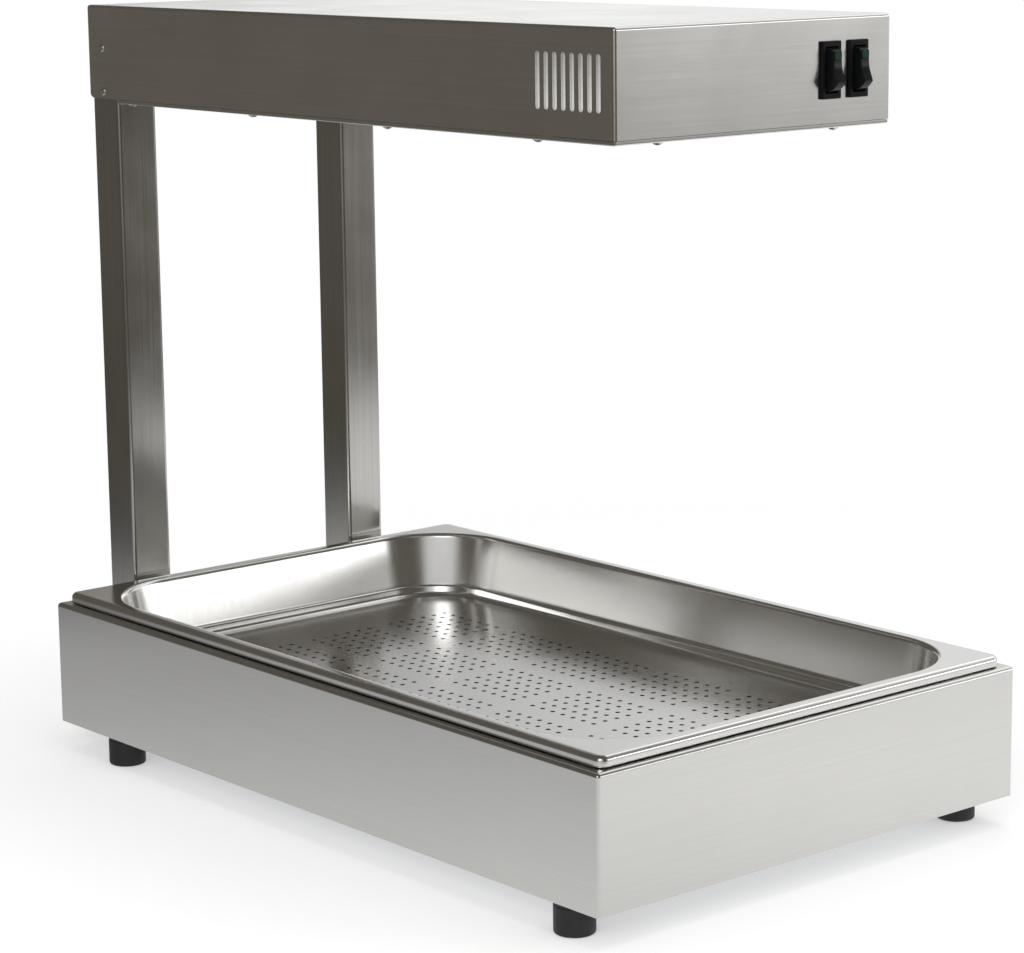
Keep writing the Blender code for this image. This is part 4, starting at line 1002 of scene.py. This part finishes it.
def make_heater_tube(label):
    node = f"heater_tube_{label}"
    low, high = box_of(node)
    radius = (high.x - low.x) / 2
    middle = (low + high) / 2
    length = high.y - low.y
    bore = radius - tube_wall
    wall = [(bore, -length / 2), (radius, -length / 2), (radius, length / 2), (bore, length / 2)]
    tube = copies(turned(wall), [(middle, rearwards)])
    piece(f"{node}_quartz", tube, "quartz", [node])
    ends = (low.y + cap_length / 2, high.y - cap_length / 2)
    caps = cylinders(bore - cap_gap, cap_length, [(middle.x, y, middle.z) for y in ends], rearwards)
    piece(f"{node}_caps", caps, "ceramic")
    run = length - 2 * coil_end_inset
    curve = bpy.data.curves.new(f"{node}_coil", "CURVE")
    curve.dimensions = "3D"
    curve.bevel_depth = coil_wire_radius
    curve.bevel_resolution = 1
    curve.use_fill_caps = True
    spline = curve.splines.new("POLY")
    count = int(run / coil_pitch) * coil_turn_steps
    spline.points.add(count)
    for index, target in enumerate(spline.points):
        angle = 2 * math.pi * index / coil_turn_steps
        x = middle.x + coil_radius * math.cos(angle)
        z = middle.z + coil_radius * math.sin(angle)
        target.co = (x, low.y + coil_end_inset + run * index / count, z, 1.0)
    coil = loose_object(f"{node}_coil", curve_mesh(curve))
    dress(coil, "filament")


def make_guard():
    level = guard_low.z + guard_wire_radius
    front = guard_low.y + guard_bearing
    rear = guard_high.y - guard_bearing
    pitch = (rear - front) / (guard_cross_count + 1)
    width = guard_high.x - guard_low.x
    centres = [(0.0, front + (index + 1) * pitch, level) for index in range(guard_cross_count)]
    wires = cylinders(guard_wire_radius, width, centres, (1.0, 0.0, 0.0), wire_sides)
    guard = solid("guard", wires)
    rail_level = guard_high.z - guard_wire_radius
    centres = [(side * guard_rail_spacing / 2, (front + rear) / 2, rail_level) for side in (-1, 1)]
    length = guard_high.y - guard_low.y
    join(guard, cylinders(guard_wire_radius, length, centres, rearwards, wire_sides))
    dress(guard, "wire_steel", ["guard_grille"])


def make_holders():
    for label in ("left", "right"):
        tube_low, tube_high = box_of(f"heater_tube_{label}")
        bore = (tube_high.x - tube_low.x) / 2 + gap
        for end, direction in (("front", -1.0), ("rear", 1.0)):
            node = f"ceramic_holder_{label}_{end}"
            low, high = box_of(node)
            rim = (high.x - low.x) / 2
            length = high.y - low.y
            profile = [(bore, 0.0), (rim - holder_edge, 0.0), (rim, -holder_edge), (rim, -holder_flange)]
            profile += [(holder_radius, -holder_flange), (holder_radius, -length), (bore, -length)]
            place = middle_of(node)
            place.y = low.y if direction < 0.0 else high.y
            shape = copies(turned(profile), [(place, (0.0, direction, 0.0))])
            piece(f"{node}_body", shape, "ceramic", [node])


# Switches

def switch_places():
    """The middles of the two switches, whose left edges are the frame's."""
    return {label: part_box(f"switch_{label}")[0][0] + bezel_width / 2 for label in ("left", "right")}


def hollow_share(share):
    """How far the rocker's front has risen from its middle to its tip, with a soft middle."""
    soft = rocker_hollow_softness
    return (math.hypot(share, soft) - soft) / (math.hypot(1.0, soft) - soft)


def rocker_outline():
    """The level rocker from the side, round its pivot, with a shallow hollow in front."""
    radius = rocker_tip_radius
    start = math.pi / 2 + math.asin(rocker_tip_rise / radius)
    end = math.pi / 2 - math.asin(rocker_back_depth / radius)
    upper = arc((0.0, 0.0), radius, start, end, 2 * edge_steps)
    tip_y, tip_z = upper[0]
    hollow = []
    steps = 2 * edge_steps
    for step in range(1, steps):
        z = -tip_z * (1 - 2 * step / steps)
        hollow.append((-rocker_middle_rise + (tip_y + rocker_middle_rise) * hollow_share(z / tip_z), z))
    lower = [(y, -z) for y, z in reversed(upper)]
    return upper + lower + hollow


def make_switch(label):
    node = f"switch_{label}"
    low, high = box_of(node)
    x = switch_places()[label]
    pivot = Vector((x, head_low.y + rocker_pivot_depth, head_level))
    bezel_front = low.y
    bezel_rear = low.y + bezel_thickness
    half_width = bezel_width / 2
    half_height = (high.z - low.z) / 2

    def front_or_along_y(edge):
        return along_y(edge) or max(vert.co.y for vert in edge.verts) < (bezel_front + bezel_rear) / 2

    shape = block(
        (x - half_width, bezel_front, head_level - half_height),
        (x + half_width, bezel_rear, head_level + half_height),
        bezel_edge_radius,
        edge_steps,
        front_or_along_y,
    )
    bezel = solid(f"{node}_bezel", shape)
    body_half_width = switch_body_width / 2 - gap
    body_half_height = switch_body_height / 2 - gap
    body_low = (x - body_half_width, bezel_rear - bezel_thickness / 2, head_level - body_half_height)
    body_high = (x + body_half_width, high.y - blade_length, head_level + body_half_height)
    join(bezel, block(body_low, body_high))
    well_half = well_width / 2
    well_height = rocker_tip_radius + well_clearance
    well_low = (x - well_half, bezel_front - overrun, head_level - well_height)
    well_high = (x + well_half, pivot.y + well_depth, head_level + well_height)
    cut(bezel, block(well_low, well_high))
    blades = bmesh.new()
    blade_half = Vector((blade_width / 2, 0.0, blade_thickness / 2))
    for step in (-1, 0, 1):
        tip = Vector((x, high.y, head_level + step * blade_pitch))
        root = tip - Vector((0.0, blade_length + blade_root, 0.0))
        add_block(blades, root - blade_half, tip + blade_half)
    dress(bezel, "black_plastic", [node])
    piece(f"{node}_blades", blades, "wire_steel")
    make_rocker(label, pivot)


def make_rocker(label, pivot):
    node = f"rocker_{label}"
    rest = Matrix.Translation(pivot) @ Matrix.Rotation(-rocker_half_angle, 4, "X")
    shape = drawn_outline(rocker_outline(), -rocker_width / 2, rocker_width / 2)
    sides = [edge for edge in shape.edges if abs(edge.verts[0].co.x - edge.verts[1].co.x) < weld_distance]
    round_off(shape, sides, rocker_edge_radius, rocker_edge_steps)
    bmesh.ops.transform(shape, matrix=rest, verts=shape.verts)
    rocker = solid(f"{node}_key", shape)
    tip_height = math.sqrt(rocker_tip_radius**2 - rocker_tip_rise**2)
    slope = math.atan2(rocker_tip_rise - rocker_middle_rise, tip_height)
    lens_rise = (rocker_tip_rise - rocker_middle_rise) * hollow_share(lens_centre_height / tip_height)
    face_y = -rocker_middle_rise - lens_rise
    face = Matrix.Translation((0.0, face_y, lens_centre_height)) @ Matrix.Rotation(slope, 4, "X")
    half = Vector((lens_width / 2, 0.0, lens_height / 2))
    margin = Vector((lens_clearance, 0.0, lens_clearance))
    depth = Vector((0.0, lens_depth, 0.0))
    pocket = block(-half - margin - 2 * depth, half + margin + depth)
    bmesh.ops.transform(pocket, matrix=rest @ face, verts=pocket.verts)
    cut(rocker, pocket)
    dress(rocker, "gloss_black_plastic", [node], node)
    proud = Vector((0.0, lens_proud, 0.0))
    window = block(-half - proud, half + lens_depth_share * depth, lens_corner_radius, rounded=along_y)
    bmesh.ops.transform(window, matrix=rest @ face, verts=window.verts)
    piece(f"lens_{label}_window", window, "green_lens", [f"lens_{label}"], node)


# Cable gland

def make_gland():
    low, high = box_of("cable_gland")
    middle = middle_of("cable_gland")
    start = base_high.y + gap
    length = high.y - start
    hex_middle = gland_hex_thickness / 2
    centre = (0.0, 0.0, hex_middle)
    hexagon = cylinders(gland_hex_radius, gland_hex_thickness, [centre], sides=gland_hex_sides)
    corners = [edge for edge in hexagon.edges if not upright(edge)]
    round_off(hexagon, corners, gland_hex_edge, gland_hex_edge_steps)
    gland = solid("gland_body", hexagon)
    crown_centre = (gland_dome_radius - gland_crown_radius, length - gland_crown_radius)
    crown = arc(crown_centre, gland_crown_radius, 0.0, math.pi / 2, edge_steps + 2)
    tail = low.y - start
    outer = [(gland_shank_radius, tail), (gland_shank_radius, hex_middle), (gland_dome_radius, hex_middle)]
    join(gland, turned(outer + crown + [(0.0, length), (0.0, tail)]))
    grooves = bmesh.new()
    reach = gland_groove_reach_share * gland_dome_radius
    run = gland_groove_length_share * length
    for index in range(gland_groove_count):
        angle = 2 * math.pi * index / gland_groove_count
        centre = (reach * math.cos(angle), reach * math.sin(angle), gland_groove_middle_share * length)
        add_cylinder(grooves, gland_groove_radius, run, centre, sides=gland_groove_sides)
    cut(gland, grooves)
    cut(gland, cylinders(gland_bore_radius, 3 * length, [(0.0, 0.0, 0.0)], sides=small_turn_steps))
    gland.data.transform(Matrix.Translation((middle.x, start, middle.z)) @ turn_to(rearwards))
    dress(gland, "black_plastic", ["cable_gland"])


# Finishes of the nodes that stay

def finish_nodes():
    """Give each CAD node that the scene shows as it is a look, by the start of its name."""
    starts = {
        "heat_shield": "zinc_steel",
        "post_bolt": "zinc_steel",
        "base_heating_plate": "aluminium",
        "reflector_end": "polished_aluminium",
        "post_plug": "black_plastic",
        "gland_nut": "black_plastic",
        "supply_cable": "cable_rubber",
        "terminal_block": "ceramic",
        "heating_plate_spacer": "ceramic",
        "vent_liner": "liner_board",
        "switch_wire": "wire_insulation",
        "heater_wire": "wire_insulation",
    }
    for name, obj in nodes.items():
        for start, look in starts.items():
            if name.startswith(start):
                for slot in obj.material_slots:
                    slot.material = looks[look]


# Camera, floor and light

def make_camera():
    data = bpy.data.cameras.new("camera")
    data.lens = camera_lens
    data.sensor_width = camera_sensor
    data.sensor_fit = "HORIZONTAL"
    data.clip_end = camera_reach
    camera = bpy.data.objects.new("camera", data)
    turn = Matrix.Rotation(camera_yaw, 4, "Z") @ Matrix.Rotation(math.pi / 2 + camera_pitch, 4, "X")
    roll = Matrix.Rotation(camera_roll, 4, "Z")
    camera.matrix_world = Matrix.Translation(camera_place) @ turn @ roll
    bpy.context.scene.collection.objects.link(camera)
    bpy.context.scene.camera = camera


def ray_kinds(tree):
    """1 for rays from glossy surfaces or through glass, and 1 for rays from the camera."""
    path = add_node(tree, "ShaderNodeLightPath").outputs
    mirrored = calculated(tree, "MAXIMUM", path["Is Glossy Ray"], path["Is Transmission Ray"])
    return mirrored, path["Is Camera Ray"]


floor_place = (0.10, -0.08, 0.0)
floor_radius = 1.15
floor_colour = (0.88, 0.88, 0.88, 1.0)
floor_sides = 96
floor_lift = 0.33
floor_solid_radius = 0.55
floor_clear_radius = 1.0
floor_mirrored_levels = (0.44, 0.94)
floor_mirrored_reaches = (-0.60, 0.30)
floor_bright_direction = (math.sqrt(0.5), -math.sqrt(0.5), 0.0)
floor_front_level = 0.12
floor_front_reaches = (-0.78, -0.58)
floor_far_level = 0.20
floor_far_reaches = (-1.02, -0.70)
world_level = 0.50
world_dark = 0.10
warm_tint = (1.0, 0.90, 0.76)
white_tint = (1.0, 1.0, 1.0)
tint_levels = (0.1, 0.5)
# Each panel: heading from and to in degrees round from the rear, level from and to as the
# height of its direction, softness of both, and strength.
studio_panels = (
    (10.0, 43.0, 8.0, -0.03, 0.11, 0.05, 0.74),
    (37.0, 126.0, 11.0, -0.03, 0.62, 0.06, 0.74),
    (112.0, 149.0, 6.0, 0.03, 0.22, 0.06, 2.50),
    (62.0, 108.0, 12.0, 0.58, 0.86, 0.08, 1.15),
    (96.0, 140.5, 7.0, -0.14, 0.05, 0.05, 0.43),
    (-50.0, -15.0, 8.0, -0.14, 0.10, 0.05, 0.02),
    (-156.0, -106.0, 9.0, -0.06, 0.66, 0.05, 0.55),
    (-138.0, -116.0, 7.0, 0.36, 0.62, 0.08, 2.60),
)


def product(tree, first, second):
    return calculated(tree, "MULTIPLY", first, second)


def mirrored_floor(tree, place):
    """What metal sees of the floor: a painted glow for mirrored rays, dimmer to the rear left, bright in
    front and to the right.
    """
    values = {0: place, 1: floor_bright_direction}
    along = add_node(tree, "ShaderNodeVectorMath", values, operation="DOT_PRODUCT").outputs["Value"]
    near = spread(tree, along, *floor_mirrored_levels, *floor_mirrored_reaches)
    far = spread(tree, along, floor_far_level, 1.0, *floor_far_reaches)
    front = spread(tree, separated(tree, place)["Y"], floor_front_level, 1.0, *floor_front_reaches)
    strength = product(tree, product(tree, near, far), front)
    return add_node(tree, "ShaderNodeEmission", {"Strength": strength}).outputs[0]


def mixed(tree, factor, first, second):
    return add_node(tree, "ShaderNodeMixShader", {0: factor, 1: first, 2: second}).outputs[0]


def make_floor():
    shape = bmesh.new()
    bmesh.ops.create_circle(shape, cap_ends=True, segments=floor_sides, radius=floor_radius)
    floor = solid("floor", shape)
    floor.location = floor_place
    material = bpy.data.materials.new("floor")
    material.use_nodes = True
    tree = material.node_tree
    tree.nodes.clear()
    glossy, camera = ray_kinds(tree)
    paper = add_node(tree, "ShaderNodeBsdfDiffuse", {"Color": floor_colour})
    lift = add_node(tree, "ShaderNodeEmission", {"Strength": product(tree, camera, floor_lift)})
    lit = add_node(tree, "ShaderNodeAddShader", {0: paper.outputs[0], 1: lift.outputs[0]})
    place = coordinates(tree, "Object")
    shown = mixed(tree, glossy, lit.outputs[0], mirrored_floor(tree, place))
    distance = add_node(tree, "ShaderNodeVectorMath", {0: place}, operation="LENGTH").outputs["Value"]
    fade = soft_step(tree, distance, 0.0, 1.0, floor_solid_radius, floor_clear_radius)
    clear = blend_values(tree, glossy, fade, 0.0)
    open_air = add_node(tree, "ShaderNodeBsdfTransparent").outputs[0]
    add_node(tree, "ShaderNodeOutputMaterial", {"Surface": mixed(tree, clear, shown, open_air)})
    floor.data.materials.append(material)


def soft_step(tree, source, low, high, start, end):
    return spread(tree, source, low, high, start, end, interpolation_type="SMOOTHSTEP")


def soft_band(tree, source, low, high, softness):
    """1 between two values and 0 outside them, with soft ends."""
    rise = soft_step(tree, source, 0.0, 1.0, low - softness, low + softness)
    fall = soft_step(tree, source, 1.0, 0.0, high - softness, high + softness)
    return product(tree, rise, fall)


def studio_room(tree):
    """What metal sees round it: a dim room with soft panels of light."""
    direction = separated(tree, coordinates(tree, "Generated"))
    heading = calculated(tree, "ARCTAN2", direction["X"], direction["Y"])
    room = world_dark
    for left, right, edge, low, high, fade, strength in studio_panels:
        across = soft_band(tree, heading, math.radians(left), math.radians(right), math.radians(edge))
        panel = product(tree, across, soft_band(tree, direction["Z"], low, high, fade))
        room = calculated(tree, "ADD", product(tree, panel, strength), room)
    return room


def make_world():
    """White to the camera, an even level for matt surfaces, and soft panels for metal to mirror."""
    world = bpy.data.worlds.new("studio")
    bpy.context.scene.world = world
    world.use_nodes = True
    tree = world.node_tree
    background = tree.nodes["Background"]
    room = studio_room(tree)
    glossy, camera = ray_kinds(tree)
    tint = blend_colours(tree, spread(tree, room, 0.0, 1.0, *tint_levels), warm_tint, white_tint)
    tree.links.new(blend_colours(tree, glossy, white_tint, tint), background.inputs["Color"])
    mirrored = blend_values(tree, glossy, world_level, room)
    tree.links.new(blend_values(tree, camera, mirrored, 1.0), background.inputs["Strength"])


def add_lamp(name, place, target, width, height, power):
    """A soft lamp for matt surfaces: metal mirrors the studio panels instead."""
    data = bpy.data.lights.new(name, "AREA")
    data.shape = "RECTANGLE"
    data.size = width
    data.size_y = height
    data.energy = power
    lamp = bpy.data.objects.new(name, data)
    lamp.location = place
    lamp.visible_glossy = False
    direction = Vector(target) - Vector(place)
    lamp.rotation_euler = direction.to_track_quat("-Z", "Y").to_euler()
    bpy.context.scene.collection.objects.link(lamp)


# Each lamp: place, the point it looks at, width, height and power.
lamps = {
    "top_lamp": ((0.3, -0.1, 2.3), (0.0, 0.0, 0.1), 1.8, 1.8, 14.0),
    "front_lamp": ((1.9, -2.3, 1.1), (0.0, 0.0, 0.25), 1.2, 1.0, 10.0),
    "left_lamp": ((-2.2, -1.4, 1.3), (0.0, 0.0, 0.25), 1.4, 1.2, 24.0),
}

make_camera()
make_floor()
make_world()
for lamp_name, lamp_values in lamps.items():
    add_lamp(lamp_name, *lamp_values)
bpy.context.scene.view_settings.view_transform = "Standard"

make_base_shell()
make_bottom_plate()
make_feet()
make_pan()
make_insert()
for post in ("post_left", "post_right"):
    make_post(post)
make_head_shell()
make_head_panel()
make_side_screws()
make_reflector()
for label in ("left", "right"):
    make_heater_tube(label)
make_guard()
make_holders()
for label in ("left", "right"):
    make_switch(label)
make_gland()
finish_nodes()
